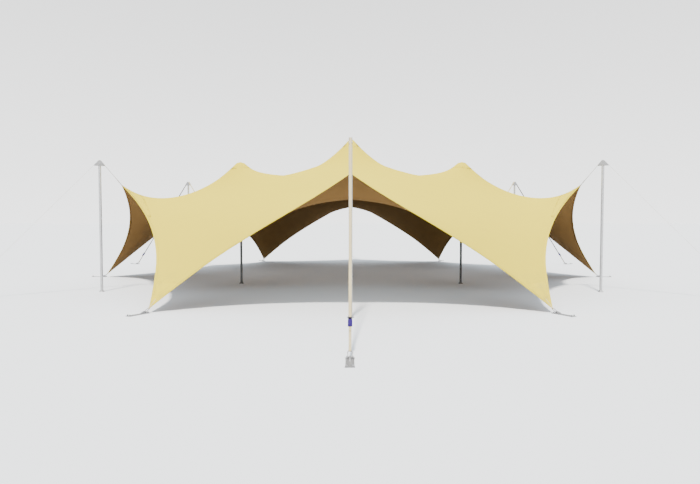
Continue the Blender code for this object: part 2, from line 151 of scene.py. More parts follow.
def bumped(tree, height, strength, distance, under=None):
    """The normal of a Bump node, laid over another normal where one is given."""
    inputs = {"Height": height, "Strength": strength, "Distance": distance}
    if under is not None:
        inputs["Normal"] = under
    return add(tree, "Bump", inputs).outputs[0]


def new_group(name, takes, gives):
    """A shader node group with named sockets, and its input and output nodes."""
    kinds = {"f": "NodeSocketFloat", "c": "NodeSocketColor", "v": "NodeSocketVector"}
    group = bpy.data.node_groups.new(name, "ShaderNodeTree")
    for label, kind in takes:
        group.interface.new_socket(label, in_out="INPUT", socket_type=kinds[kind])
    for label, kind in gives:
        group.interface.new_socket(label, in_out="OUTPUT", socket_type=kinds[kind])
    return group, group.nodes.new("NodeGroupInput"), group.nodes.new("NodeGroupOutput")


def use_group(tree, group, inputs):
    """Adds a node that uses one of the shared groups."""
    return add(tree, "Group", inputs, node_tree=group)


def new_material(name, **constants):
    """A material with a Principled shader whose constant inputs are set on its sockets."""
    mat = bpy.data.materials.new(name)
    mat.use_nodes = True
    shader = mat.node_tree.nodes["Principled BSDF"]
    for label, value in constants.items():
        shader.inputs[label.replace("_", " ")].default_value = value
    return mat, mat.node_tree, shader


# %% Helpers for pieces
def make_piece(name, work, mats, crease, body="tent"):
    """Turns a bmesh into a piece of the tent that rides on one of its bodies."""
    mesh = bpy.data.meshes.new(name)
    work.to_mesh(mesh)
    work.free()
    for mat in mats:
        mesh.materials.append(mat)
    mesh.shade_smooth()
    mesh.set_sharp_from_angle(angle=math.radians(crease))
    item = bpy.data.objects.new(name, mesh)
    scene_objects.link(item)
    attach(item, body)
    return item


def thicken(item, thickness, offset=-1.0, inner=0, rim=0):
    """Gives a sheet its thickness. The offset says to which side of the sheet it grows."""
    solid = item.modifiers.new("Thickness", "SOLIDIFY")
    solid.thickness = thickness
    solid.offset = offset
    solid.use_even_offset = True
    solid.material_offset = inner
    solid.material_offset_rim = rim
    return item


# %% [markdown]
# ## Floor, backdrop and light
# The tent stands in a plain pale studio. A world of even light both lights the scene and
# is the backdrop, and a wide floor of nearly the same brightness meets it without a
# horizon line. One broad sun, high and a little to the left of the camera, gives the
# cloth its form and throws the soft-edged shadow under the tent. The backdrop is a
# little brighter at floor level than overhead, as a lit studio wall is. Matt surfaces
# get only a share of its light, most of it from above and a little cool, as from large
# soft boxes. So the sun does most of the work and the inside of the tent stays deep in
# tone, while metal still mirrors the pale backdrop. The floor gives light back to matt
# surfaces mainly from a ring round the tent, as if dark flags lay inside and outside it,
# and gives less at the back. Wide weak fill lights under the roof point down and lift the
# shade on the floor. Each is listed with its place, size, power and tint.

# %% The studio's values
LIGHT_LOW = 2.9
LIGHT_HIGH = 2.0
FALL_OFF = 0.38
WALL_TINT = (0.99, 0.997, 1.0, 1.0)
FLOOR_TONE = 0.93
FLOOR_SWING = 0.004
SOFT_LOW = 0.0
SOFT_HIGH = 0.90
SOFT_START = 0.28
SOFT_FULL = 0.60
SOFT_TINT = (0.80, 0.90, 1.0, 1.0)
SUN_POWER = 6.2
SUN_SPREAD = 5.0
SUN_TRAVEL = (0.085, 0.49, -1.0)
SUN_TINT = (1.0, 0.97, 0.92)
FILLS = (((0.0, 1.3, 1.5), (6.5, 7.3), 30.5, (0.95, 0.98, 1.0)),
         ((0.0, -3.9, 1.1), (8.0, 3.2), 25.0, (0.72, 0.89, 1.0)),
         ((-3.8, 0.4, 0.9), (2.6, 4.6), 5.5, (0.90, 0.96, 1.0)),
         ((3.8, 0.4, 0.9), (2.6, 4.6), 5.5, (0.90, 0.96, 1.0)))
BOUNCE_INNER = (3.0, 5.0, 0.35, 1.0)
BOUNCE_OUTER = (6.5, 10.5, 1.0, 0.05)
BOUNCE_BEHIND = (0.0, 3.0, 1.0, 0.52)
FLOOR_REACH = 400.0
FLOOR_LEVEL = -0.001

# %% Backdrop
world = bpy.data.worlds.new("studio")
world.use_nodes = True
sky = world.node_tree
aim = add(sky, "TexCoord").outputs["Generated"]
aim = add(sky, "SeparateXYZ", {0: aim}).outputs["Z"]
brightness = ramp(sky, aim, 0.0, FALL_OFF, LIGHT_LOW, LIGHT_HIGH)
soft = ramp(sky, aim, SOFT_START, SOFT_FULL, SOFT_LOW, SOFT_HIGH)
matt = add(sky, "LightPath").outputs["Is Diffuse Ray"]
dimming = add(sky, "Mix", {0: matt, 2: 1.0, 3: soft}, data_type="FLOAT").outputs[0]
brightness = times(sky, brightness, dimming)
tint = mix_colour(sky, matt, WALL_TINT, SOFT_TINT)
plug(sky, sky.nodes["Background"], {"Strength": brightness, "Color": tint})
bpy.context.scene.world = world
print("backdrop from", LIGHT_LOW, "at floor level to", LIGHT_HIGH, "overhead")

# %% Floor
floor_mat, ground, floor_shader = new_material(
    "studio_floor", Roughness=1.0, Specular_IOR_Level=0.0)
place = add(ground, "TexCoord").outputs["Object"]
grain = noise(ground, place, 0.35)
tone = ramp(ground, grain, 0.3, 0.7, FLOOR_TONE - FLOOR_SWING, FLOOR_TONE + FLOOR_SWING)
behind = add(ground, "SeparateXYZ", {0: place}).outputs["Y"]
away = add(ground, "VectorMath", {0: place}, operation="LENGTH").outputs["Value"]
inner_edge, outer_edge = ramp(ground, away, *BOUNCE_INNER), ramp(ground, away, *BOUNCE_OUTER)
bounce = times(ground, inner_edge, outer_edge)
bounce = times(ground, bounce, ramp(ground, behind, *BOUNCE_BEHIND))
matt = add(ground, "LightPath").outputs["Is Diffuse Ray"]
kept = add(ground, "Mix", {0: matt, 2: 1.0, 3: bounce}, data_type="FLOAT").outputs[0]
tone = times(ground, tone, kept)
even = add(ground, "CombineColor", {0: tone, 1: tone, 2: tone}).outputs[0]
plug(ground, floor_shader, {"Base Color": even})

work = bmesh.new()
bmesh.ops.create_grid(work, x_segments=1, y_segments=1, size=FLOOR_REACH)
floor_mesh = bpy.data.meshes.new("studio_floor")
work.to_mesh(floor_mesh)
work.free()
floor_mesh.materials.append(floor_mat)
floor = bpy.data.objects.new("studio_floor", floor_mesh)
floor.location.z = FLOOR_LEVEL
scene_objects.link(floor)
print("floor reach", FLOOR_REACH, "m")

# %% Lights
sun = bpy.data.objects.new("sun", bpy.data.lights.new("sun", "SUN"))
sun.data.energy = SUN_POWER
sun.data.angle = math.radians(SUN_SPREAD)
sun.data.color = SUN_TINT
sun.rotation_euler = Vector(SUN_TRAVEL).to_track_quat("-Z", "Y").to_euler()
scene_objects.link(sun)

for number, (place, size, power, colour) in enumerate(FILLS, start=1):
    fill = bpy.data.objects.new(f"fill_{number}", bpy.data.lights.new(f"fill_{number}", "AREA"))
    fill.data.energy = power
    fill.data.shape = "ELLIPSE"
    fill.data.size, fill.data.size_y = size
    fill.data.color = colour
    fill.location = place
    fill.visible_camera = False
    fill.visible_glossy = False
    scene_objects.link(fill)
print("sun", SUN_POWER, "and", len(FILLS), "fill lights")

# %% [markdown]
# ## Finishes shared by several pieces
# Node groups are built once and used in many materials. The first one lets a colour
# wander a little, as dye and handling do. The second is the pattern of a woven strap and
# the third a row of stitches, both laid out in metres along and across a band. The
# fourth breaks up bare metal with dull spots and fine scratches.

# %% Colour that wanders
tone_group, ins, outs = new_group(
    "handled_tone", [("Vector", "v"), ("Tone", "c"), ("Spread", "f"), ("Scale", "f")],
    [("Color", "c")])
broad = noise(tone_group, ins.outputs["Vector"], ins.outputs["Scale"], 5.0, 0.55)
fine_scale = times(tone_group, ins.outputs["Scale"], 9.0)
fine = noise(tone_group, ins.outputs["Vector"], fine_scale, 3.0)
both = calc(tone_group, "ADD", times(tone_group, broad, 0.7), times(tone_group, fine, 0.3))
swing = times(tone_group, calc(tone_group, "SUBTRACT", both, 0.5), ins.outputs["Spread"])
gain = calc(tone_group, "ADD", 1.0, times(tone_group, swing, 2.0))
shaded = add(tone_group, "HueSaturation", {"Value": gain, "Color": ins.outputs["Tone"]})
plug(tone_group, outs, {"Color": shaded.outputs[0]})


def handled_tone(tree, spot, tone, spread, scale):
    """A colour that wanders a little from place to place."""
    inputs = {"Vector": spot, "Tone": tone, "Spread": spread, "Scale": scale}
    return use_group(tree, tone_group, inputs).outputs["Color"]


print("group", tone_group.name)

# %% Woven strap
weave_group, ins, outs = new_group(
    "strap_weave", [("Along", "f"), ("Across", "f"), ("Pitch", "f")],
    [("Height", "f"), ("Shade", "f")])
rib = calc(weave_group, "DIVIDE", ins.outputs["Across"], ins.outputs["Pitch"])
step = calc(weave_group, "DIVIDE", ins.outputs["Along"], ins.outputs["Pitch"])
fold = calc(weave_group, "PINGPONG", rib, 2.0)
slope = times(weave_group, calc(weave_group, "ADD", step, fold), math.pi)
twill = calc(weave_group, "SINE", slope)
yarn = calc(weave_group, "SINE", times(weave_group, rib, 2.0 * math.pi))
height = calc(weave_group, "ADD", times(weave_group, twill, 0.6), times(weave_group, yarn, 0.4))
shade = ramp(weave_group, height, -1.0, 1.0, 0.78, 1.04)
plug(weave_group, outs, {"Height": height, "Shade": shade})
print("group", weave_group.name)

# %% Row of stitches
stitch_group, ins, outs = new_group(
    "stitch_row", [("Along", "f"), ("Across", "f"), ("Row", "f"), ("Pitch", "f"), ("Thread", "f")],
    [("Mask", "f")])
beside = calc(stitch_group, "ABSOLUTE", ins.outputs["Across"])
beside = calc(stitch_group, "ABSOLUTE", calc(stitch_group, "SUBTRACT", beside, ins.outputs["Row"]))
line = calc(stitch_group, "LESS_THAN", beside, ins.outputs["Thread"])
phase = calc(stitch_group, "DIVIDE", ins.outputs["Along"], ins.outputs["Pitch"])
phase = calc(stitch_group, "FRACT", phase)
dash = calc(stitch_group, "LESS_THAN", phase, 0.7)
plug(stitch_group, outs, {"Mask": times(stitch_group, line, dash)})


def stitches(tree, along, across, row, pitch, thread):
    """A mask of stitches at a distance on both sides of the middle line."""
    inputs = {"Along": along, "Across": across, "Row": row, "Pitch": pitch, "Thread": thread}
    return use_group(tree, stitch_group, inputs).outputs[0]


print("group", stitch_group.name)

# %% Handled metal
metal_group, ins, outs = new_group(
    "handled_metal", [("Vector", "v"), ("Roughness", "f"), ("Scale", "f")],
    [("Roughness", "f"), ("Height", "f"), ("Dull", "f")])
spots = noise(metal_group, ins.outputs["Vector"], ins.outputs["Scale"], 6.0, 0.6)
drawn = scaled(metal_group, ins.outputs["Vector"], (90.0, 90.0, 2.5))
scratches = noise(metal_group, drawn, 3.0)
dull = ramp(metal_group, spots, 0.42, 0.68)
swing = times(metal_group, dull, 0.18)
swing = calc(metal_group, "ADD", swing, times(metal_group, scratches, 0.12))
rough = calc(metal_group, "ADD", ins.outputs["Roughness"], swing)
plug(metal_group, outs, {"Roughness": rough, "Height": scratches, "Dull": dull})


def handled_metal(tree, spot, roughness, scale):
    """The metal group's node, with the outputs Roughness, Height and Dull."""
    inputs = {"Vector": spot, "Roughness": roughness, "Scale": scale}
    return use_group(tree, metal_group, inputs)


print("shared finishes:", [group.name for group in bpy.data.node_groups])

# %% [markdown]
# ## The cloth's two faces
# Stretch cloth is a knitted fabric with a coating, sand outside. Its inside gets a darker
# brown copy of that tone, which is painted shade: the shade under the roof. The
# knit is far too fine to model, so it is bump: small loops on a grid of millimetres. Fine
# creases gather where the cloth is pulled hardest, at the corners and over the poles.
# The mesh carries an attribute called pull that says how near such a place is, and the
# creases run along the pull because they follow the cloth's own UV map.

# %% Cloth materials
CLOTH_OUTSIDE = (0.84, 0.66, 0.05, 1.0)
# The inside's darker brown tone is painted shade for the underside of the roof.
CLOTH_INSIDE_PAINTED_SHADE = (0.222, 0.128, 0.045, 1.0)
THROUGH_OUTSIDE = 0.05
THROUGH_INSIDE = 0.025
OUTSIDE_GLOW = (0.9, 0.75, 0.4, 1.0)
INSIDE_GLOW = (0.62, 0.36, 0.12, 1.0)
SOIL_TONE = (0.25, 0.2, 0.14, 1.0)
THREAD_TONE = (0.50, 0.40, 0.14, 1.0)
SOIL_FROM, SOIL_TO = 0.75, 0.05
KNIT_GAUGE = 700.0
STITCH_PLACE = 0.017
STITCH_PITCH = 0.005
THREAD_HALF = 0.0007


def cloth_material(name, tone, spread, dust, through, glow, sewn=False):
    """Cloth that lets a share of the light through, tinted by glow, sewn or not."""
    mat, tree, shader = new_material(name, Roughness=0.9, Specular_IOR_Level=0.04)
    spot = add(tree, "TexCoord").outputs["Object"]
    uv = add(tree, "UVMap", uv_map="cloth").outputs[0]
    pull = add(tree, "Attribute", attribute_name="pull").outputs["Fac"]
    base = handled_tone(tree, spot, tone, spread, 0.6)
    height_above = add(tree, "SeparateXYZ", {0: spot}).outputs["Z"]
    low = ramp(tree, height_above, SOIL_FROM, SOIL_TO)
    smudge = noise(tree, spot, 6.0, 6.0)
    soil = times(tree, times(tree, low, ramp(tree, smudge, 0.4, 0.75)), dust)
    soiled = mix_colour(tree, soil, base, SOIL_TONE)
    if sewn:
        band = add(tree, "SeparateXYZ", {0: add(tree, "UVMap", uv_map="strap").outputs[0]})
        rows = stitches(tree, band.outputs["X"], band.outputs["Y"], STITCH_PLACE, STITCH_PITCH,
                        THREAD_HALF)
        soiled = mix_colour(tree, rows, soiled, THREAD_TONE)
    creases = noise(tree, scaled(tree, uv, (150.0, 5.0, 1.0)), 1.0, 3.0)
    gathered = times(tree, creases, calc(tree, "POWER", pull, 1.5))
    loops = scaled(tree, spot, (KNIT_GAUGE,) * 3)
    knit = add(tree, "TexVoronoi", {"Vector": loops, "Scale": 1.0, "Randomness": 0.35})
    crease_bump = bumped(tree, gathered, 0.5, 0.012)
    knit_bump = bumped(tree, knit.outputs["Distance"], 0.25, 0.0008, crease_bump)
    plug(tree, shader, {"Base Color": soiled, "Normal": knit_bump})
    lit_through = add(tree, "BsdfTranslucent", {"Color": glow, "Normal": knit_bump}).outputs[0]
    both = add(tree, "MixShader", {0: through, 1: shader.outputs[0], 2: lit_through}).outputs[0]
    plug(tree, tree.nodes["Material Output"], {"Surface": both})
    return mat


cloth_outside = cloth_material(
    "canopy_outside", CLOTH_OUTSIDE, 0.05, 0.5, THROUGH_OUTSIDE, OUTSIDE_GLOW)
# The inside material: the cloth with a darker brown tone that paints in the shade under the roof.
shaded_cloth_inside = cloth_material(
    "canopy_inside_shaded", CLOTH_INSIDE_PAINTED_SHADE, 0.10, 0.3, THROUGH_INSIDE, INSIDE_GLOW)
cloth_sewn = cloth_material(
    "canopy_hem", CLOTH_OUTSIDE, 0.05, 0.5, THROUGH_OUTSIDE, OUTSIDE_GLOW, sewn=True)
print("cloth finishes:", cloth_outside.name, shaded_cloth_inside.name, cloth_sewn.name)

# %% [markdown]
# ## The form of the cloth
# A stretched cloth takes the shape in which the pulls on every point of it cancel out.
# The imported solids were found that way, and the same net with the same pulls is settled
# here, so the cloth lies close to the solids. It is held at the crown on the king pole, on
# the three interior poles and at the twelve corners. All the balances together are one set
# of linear equations, which numpy solves at once. Modelling it by hand would not give
# ridges and hems that look pulled. The net is coarse, so points are then put half way
# along the smooth curve through each pair of knots, twice over. The cloth folds along the
# lines from the crown to the corners, and no curve is carried across those. Over the small
# knobs the knots lie close together and a smooth curve would overshoot, so there the new
# points are taken straight between the knots. Cloth that has stood for a while creeps where
# it is pulled hardest, so it stands a little fuller round the crown and dips a little beside
# the inner poles. One last ring marks the inner line of the hem.

# %% The net's measures and its spokes
SPOKES = 6
SECTORS = 72
RINGS = 18
INNER_RING = 9
CENTRE_SHARE = 0.10
HOOP_PULL = 4.47
RADIAL_GROWTH = 3.40
HEM_PULL_RAISED = 0.51
HEM_PULL_GROUND = 0.17
RIDGE_PULL_BARE = 0.35
RIDGE_PULL_POLED = 0.43
INNER_SPOKES = (1, 3, 5)
KING_HEIGHT = 3.95
CROWN_RADIUS = 0.05
INNER_TOP = (3.28, 3.13)
KNOB_RADIUS = 0.10
KNOB_DROP = 0.03
RAISED_TIP = (6.12, 2.44)
GROUND_TIP = (7.08, 0.08)
HEM_WIDTH = 0.050
CROWN_SWELL = (0.10, 2.50, 0.115)
KNOB_DIP = (0.11, 0.38, 0.100)
KNOB_DIP_ENDS = (1.4, 2.4)
KNOB_DIP_SIDES = (0.62, 0.38)
STRAIGHT_FROM, STRAIGHT_FADE = 1.1, 3.5
PER_SPOKE = SECTORS // SPOKES


def spoke_angle(step):
    """The direction of a spoke. Half a step on lies a ground corner."""
    return math.radians(step * 360.0 / SPOKES - 90.0)


def on_spoke(radius, step, height):
    """A point at a radius and a height on a spoke."""
    angle = spoke_angle(step)
    return Vector((radius * math.cos(angle), radius * math.sin(angle), height))


def knot(ring, sector):
    """The number of a knot, counted ring by ring."""
    return ring * SECTORS + sector % SECTORS


print("net of", RINGS + 1, "rings of", SECTORS, "knots")


# %% Pulls between the knots
def net_pulls():
    """Knot pairs and their pulls: along the spokes, round the rings and along the hem."""
    shares = np.linspace(CENTRE_SHARE, 1.0, RINGS + 1)
    ring_step = (1.0 - CENTRE_SHARE) / RINGS
    turn_step = 2.0 * math.pi / SECTORS
    pulls = []
    for ring in range(RINGS):
        grown = ((shares[ring] + shares[ring + 1]) / 2.0) ** RADIAL_GROWTH / ring_step
        for sector in range(SECTORS):
            pull = grown * turn_step
            if sector % PER_SPOKE == 0:
                poled = sector // PER_SPOKE in INNER_SPOKES
                pull += grown * (RIDGE_PULL_POLED if poled else RIDGE_PULL_BARE)
            pulls.append((knot(ring, sector), knot(ring + 1, sector), pull))
    for ring in range(1, RINGS):
        hoop = HOOP_PULL * shares[ring] ** (RADIAL_GROWTH - 2.0) * ring_step / turn_step
        pulls.extend((knot(ring, sector), knot(ring, sector + 1), hoop)
                     for sector in range(SECTORS))
    for sector in range(SECTORS):
        along = (sector + 0.5) % PER_SPOKE / PER_SPOKE
        groundward = 1.0 - abs(2.0 * along - 1.0)
        hem = HEM_PULL_RAISED * (1.0 - groundward) + HEM_PULL_GROUND * groundward
        pull = 0.5 * HOOP_PULL * ring_step / turn_step + hem / turn_step
        pulls.append((knot(RINGS, sector), knot(RINGS, sector + 1), pull))
    return pulls


print(len(net_pulls()), "pulls")


# %% Held knots
def held_knots():
    """The knots that can't move: crown, corners and the nine on each interior pole's knob."""
    held = {knot(0, sector): on_spoke(CROWN_RADIUS, sector / PER_SPOKE, KING_HEIGHT)
            for sector in range(SECTORS)}
    for step in range(SPOKES):
        held[knot(RINGS, step * PER_SPOKE)] = on_spoke(RAISED_TIP[0], step, RAISED_TIP[1])
        held[knot(RINGS, step * PER_SPOKE + PER_SPOKE // 2)] = on_spoke(
            GROUND_TIP[0], step + 0.5, GROUND_TIP[1])
    for step in INNER_SPOKES:
        top = on_spoke(INNER_TOP[0], step, INNER_TOP[1])
        turn = Matrix.Rotation(spoke_angle(step), 3, "Z")
        for outward in (-1, 0, 1):
            for sideways in (-1, 0, 1):
                away = Vector((outward, sideways, 0.0))
                rim = turn @ away.normalized() * KNOB_RADIUS
                drop = Vector((0.0, 0.0, KNOB_DROP)) if away.length else Vector()
                held[knot(INNER_RING + outward, step * PER_SPOKE + sideways)] = top + rim - drop
    return held


print(len(held_knots()), "held knots")


# %% Settle the net
def settled_net():
    """Solves the balance of pulls on every free knot."""
    count = (RINGS + 1) * SECTORS
    balance = np.zeros((count, count))
    for first, second, pull in net_pulls():
        balance[first, first] += pull
        balance[second, second] += pull
        balance[first, second] -= pull
        balance[second, first] -= pull
    held = held_knots()
    fixed = np.array(sorted(held))
    free = np.setdiff1d(np.arange(count), fixed)
    places = np.zeros((count, 3))
    places[fixed] = [tuple(held[number]) for number in fixed]
    load = -balance[np.ix_(free, fixed)] @ places[fixed]
    places[free] = np.linalg.solve(balance[np.ix_(free, free)], load)
    return places.reshape(RINGS + 1, SECTORS, 3)


settled = settled_net()
print("settled, lowest", round(float(settled[..., 2].min()), 3))


# %% Make the net finer
def with_midpoints(knots, straight):
    """Knots along axis 0 with a point between each pair, on their curve or straight line."""
    first = 3.0 * knots[:1] - 3.0 * knots[1:2] + knots[2:3]
    last = 3.0 * knots[-1:] - 3.0 * knots[-2:-1] + knots[-3:-2]
    longer = np.concatenate([first, knots, last])
    between = (knots[1:] + knots[:-1]) / 2.0
    if not straight:
        between = (9.0 * (longer[1:-2] + longer[2:-1]) - longer[:-3] - longer[3:]) / 16.0
    finer = np.empty((2 * len(knots) - 1, *knots.shape[1:]))
    finer[0::2] = knots
    finer[1::2] = between
    return finer


def finer_net(coarse, straight):
    """Twice as many rings and sectors, section by section between the corner lines."""
    rings = with_midpoints(coarse, straight)
    width = coarse.shape[1] // (2 * SPOKES)
    sections = []
    for number in range(2 * SPOKES):
        columns = np.arange(number * width, (number + 1) * width + 1) % coarse.shape[1]
        section = with_midpoints(np.swapaxes(rings[:, columns], 0, 1), straight)
        sections.append(np.swapaxes(section[:-1], 0, 1))
    return np.concatenate(sections, axis=1)


def smooth_net(settled):
    """The settled net made four times finer: smooth, but straight between knots at the knobs."""
    smooth = finer_net(finer_net(settled, False), False)
    plain = finer_net(finer_net(settled, True), True)
    tops = [np.array(on_spoke(INNER_TOP[0], step, INNER_TOP[1])) for step in INNER_SPOKES]
    away = np.min([np.linalg.norm(plain - top, axis=2) for top in tops], axis=0)
    share = np.clip((away - KNOB_RADIUS * STRAIGHT_FROM) / (KNOB_RADIUS * STRAIGHT_FADE), 0.0, 1.0)
    return plain + (smooth - plain) * share[..., None]


fine_net = smooth_net(settled)
print("finer net of", fine_net.shape[0], "rings of", fine_net.shape[1], "points")


# %% Creep and the hem's line
def crept_net(fine):
    """The net after some use: fuller round the crown and lower round the inner poles."""
    start, end, swell = CROWN_SWELL
    out = np.clip((np.hypot(fine[..., 0], fine[..., 1]) - start) / (end - start), 0.0, 1.0)
    rise = swell * np.sin(math.pi * out) ** 2
    start, reach, dip = KNOB_DIP
    fades, gone = KNOB_DIP_ENDS
    even, inward_more = KNOB_DIP_SIDES
    for step in INNER_SPOKES:
        beside = fine[..., :2] - np.array(on_spoke(INNER_TOP[0], step, 0.0).xy)
        away = np.linalg.norm(beside, axis=2)
        outward = beside @ np.array(on_spoke(1.0, step, 0.0).xy) / np.maximum(away, 0.001)
        near = np.maximum(away - start, 0.0) / reach
        fade = np.clip((gone - away) / (gone - fades), 0.0, 1.0)
        rise -= dip * near * np.exp(1.0 - near) * fade * (even - inward_more * outward)
    crept = fine.copy()
    crept[..., 2] += rise
    return crept


def with_hem_line(fine):
    """The net with one more ring, at the hem's width inside its edge."""
    edge, reach = fine[-1], fine[-2] - fine[-1]
    along = np.roll(edge, -1, axis=0) - np.roll(edge, 1, axis=0)
    along /= np.linalg.norm(along, axis=1, keepdims=True)
    slant = np.linalg.norm(np.cross(along, reach), axis=1, keepdims=True)
    line = edge + reach * np.minimum(0.95, HEM_WIDTH / slant)
    return np.concatenate([fine[:-1], line[None], edge[None]])


net = with_hem_line(crept_net(fine_net))
fine_rings, fine_sectors = net.shape[0] - 1, net.shape[1]
lowest = round(float(net[..., 2].min()), 3)
print("sheet of", fine_rings, "rings and", fine_sectors, "sectors, lowest", lowest)

# %% [markdown]
# ## The canopy
# The net becomes one sheet without a break. A grid is laid out with one column more than
# the net has spokes, each of its points goes to its knot, and the first and last columns
# are then merged, so the sheet closes round the king pole. The grid brings its own UV
# map. A Solidify modifier grows the thickness inwards and gives the inside its own
# material, a darker brown copy of the cloth that is painted shade under the roof.

# %% Canopy sheet
CLOTH_THICKNESS = 0.003
PULL_REACH = 0.55
SAME_POINT = 0.0005


def pull_places():
    """Points where the cloth is pulled hardest: corners, crown and pole heads."""
    spots = [Vector((0.0, 0.0, KING_HEIGHT))]
    for step in range(SPOKES):
        spots.append(on_spoke(RAISED_TIP[0], step, RAISED_TIP[1]))
        spots.append(on_spoke(GROUND_TIP[0], step + 0.5, GROUND_TIP[1]))
    spots.extend(on_spoke(INNER_TOP[0], step, INNER_TOP[1]) for step in INNER_SPOKES)
    return spots


def sheet_bmesh():
    """A grid of the net's points, closed round the king pole."""
    work = bmesh.new()
    work.loops.layers.uv.new("cloth")
    bmesh.ops.create_grid(work, x_segments=fine_sectors, y_segments=fine_rings, size=0.5,
                          calc_uvs=True)
    pull = work.verts.layers.float.new("pull")
    spots = pull_places()
    for vert in work.verts:
        sector = round((vert.co.x + 0.5) * fine_sectors)
        ring = round((vert.co.y + 0.5) * fine_rings)
        vert.co = net[ring, sector % fine_sectors]
        near = min((vert.co - spot).length for spot in spots)
        vert[pull] = math.exp(-near / PULL_REACH)
    bmesh.ops.remove_doubles(work, verts=work.verts, dist=SAME_POINT)
    return work


work = sheet_bmesh()
border = [vert for vert in work.verts if vert.is_boundary]
inmost = sorted(border, key=lambda vert: -vert.co.z)[:fine_sectors]
bmesh.ops.contextual_create(work, geom=inmost)
bmesh.ops.recalc_face_normals(work, faces=work.faces)
if sum(face.normal.z for face in work.faces) < 0.0:
    bmesh.ops.reverse_faces(work, faces=work.faces)
work.normal_update()
cloth_area = sum(face.calc_area() for face in work.faces)
sheet = work.copy()
canopy = make_piece("canopy", work, [cloth_outside, shaded_cloth_inside], crease=80.0)
thicken(canopy, CLOTH_THICKNESS, inner=1)
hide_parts("canopy_right", "canopy_rear", "canopy_left")
print("cloth area", round(cloth_area, 2), "square metres")

# %% [markdown]
# ## The lines that the guys follow
# Every guy lies in the upright plane through its pole, so it is drawn there, in metres
# out from the king pole and up from the floor. A taut strap leaves the round nose of the
# pole's head where its line is square to the nose's radius. Working that out once places
# the strap, the ratchet, the handle and the link. A matrix then carries a piece from its
# own axes to its line: local X along the line, Y across it and Z away from it.

# %% Guy lines
POLE_CIRCLE = 6.58
HEAD_TOP = 2.985
HEAD_HEIGHT = 0.120
HEAD_NOSE = 0.036
GUY_FOOT = (9.22, 0.085)
SEAT_GAP = 0.0003
WEB_HALF = 0.020
WEB_THICKNESS = 0.003
RATCHET_SHARE = 0.878
NOSE_CENTRE = Vector((POLE_CIRCLE, HEAD_TOP - HEAD_NOSE))
STRAP_BEND = HEAD_NOSE + SEAT_GAP + WEB_THICKNESS / 2.0


def on_arc(centre, radius, angle):
    """A point of a spoke's plane on an arc round a centre."""
    return Vector((centre[0] + radius * math.cos(angle), centre[1] + radius * math.sin(angle)))


def touch_angle(point, side):
    """Direction from the nose's centre to where a strap from the point touches it."""
    away = Vector(point) - NOSE_CENTRE
    return math.atan2(away.y, away.x) + side * math.acos(STRAP_BEND / away.length)


def line_frame(step, origin, run):
    """The matrix that lays a piece on a line of a spoke's plane."""
    out = on_spoke(1.0, step, 0.0)
    along = out * run.x + UP * run.y
    across = UP.cross(out)
    matrix = Matrix((along, across, along.cross(across))).transposed().to_4x4()
    matrix.translation = out * origin.x + UP * origin.y
    return matrix


outer_touch = touch_angle(GUY_FOOT, 1.0)
inner_touch = touch_angle(RAISED_TIP, -1.0) % (2.0 * math.pi)
guy_top = on_arc(NOSE_CENTRE, STRAP_BEND, outer_touch)
guy_run = Vector(GUY_FOOT) - guy_top
guy_length = guy_run.length
guy_run.normalize()
guy_lift = Vector((-guy_run.y, guy_run.x))
ratchet_top = guy_top + guy_run * guy_length * RATCHET_SHARE
link_end = Vector(RAISED_TIP)
link_run = (on_arc(NOSE_CENTRE, STRAP_BEND, inner_touch) - link_end).normalized()
print("guy", round(guy_length, 3), "m long, falling",
      round(math.degrees(math.atan2(-guy_run.y, guy_run.x)), 1), "degrees")

# %% [markdown]
# ## Metal and paint
# The poles are aluminium tube, drawn and then handled: satin, with dull spots and
# scratches that run along the tube. The anchors, links and shackles are galvanised, which
# has a spangle of flat crystals, each a little lighter or darker, so a Voronoi pattern
# makes it. The ratchets are pressed steel under satin blue-violet paint, which wears to
# metal where it is rubbed. A metal's shine comes from the shader, and only its roughness,
# bump and tone are patterned.

# %% Metal materials
BARE_STEEL = (0.42, 0.42, 0.43, 1.0)
DULL_SHARE = 0.75


def tube_material(name, tone, roughness):
    """Drawn or cast aluminium: satin, with dull spots and scratches."""
    mat, tree, shader = new_material(name, Metallic=1.0, IOR=1.5)
    spot = add(tree, "TexCoord").outputs["Object"]
    base = handled_tone(tree, spot, tone, 0.10, 3.0)
    worn = handled_metal(tree, spot, roughness, 14.0)
    dull_tone = tuple(DULL_SHARE * part for part in tone[:3]) + (1.0,)
    dulled = mix_colour(tree, times(tree, worn.outputs["Dull"], 0.35), base, dull_tone)
    plug(tree, shader, {"Base Color": dulled, "Roughness": worn.outputs["Roughness"],
                        "Normal": bumped(tree, worn.outputs["Height"], 0.15, 0.0004)})
    return mat


def galvanised_material(name, tone):
    """Dull zinc with a spangle of flat crystals."""
    mat, tree, shader = new_material(name, Metallic=0.85)
    spot = add(tree, "TexCoord").outputs["Object"]
    crystals = add(tree, "TexVoronoi", {"Vector": spot, "Scale": 130.0}, feature="F1")
    spangle = add(tree, "SeparateXYZ", {0: crystals.outputs["Color"]}).outputs["X"]
    flake = ramp(tree, spangle, 0.0, 1.0, 0.78, 1.12)
    base = handled_tone(tree, spot, tone, 0.25, 12.0)
    shaded = add(tree, "HueSaturation", {"Value": flake, "Color": base}).outputs[0]
    worn = handled_metal(tree, spot, 0.38, 30.0)
    plug(tree, shader, {"Base Color": shaded, "Roughness": worn.outputs["Roughness"],
                        "Normal": bumped(tree, spangle, 0.12, 0.0003)})
    return mat


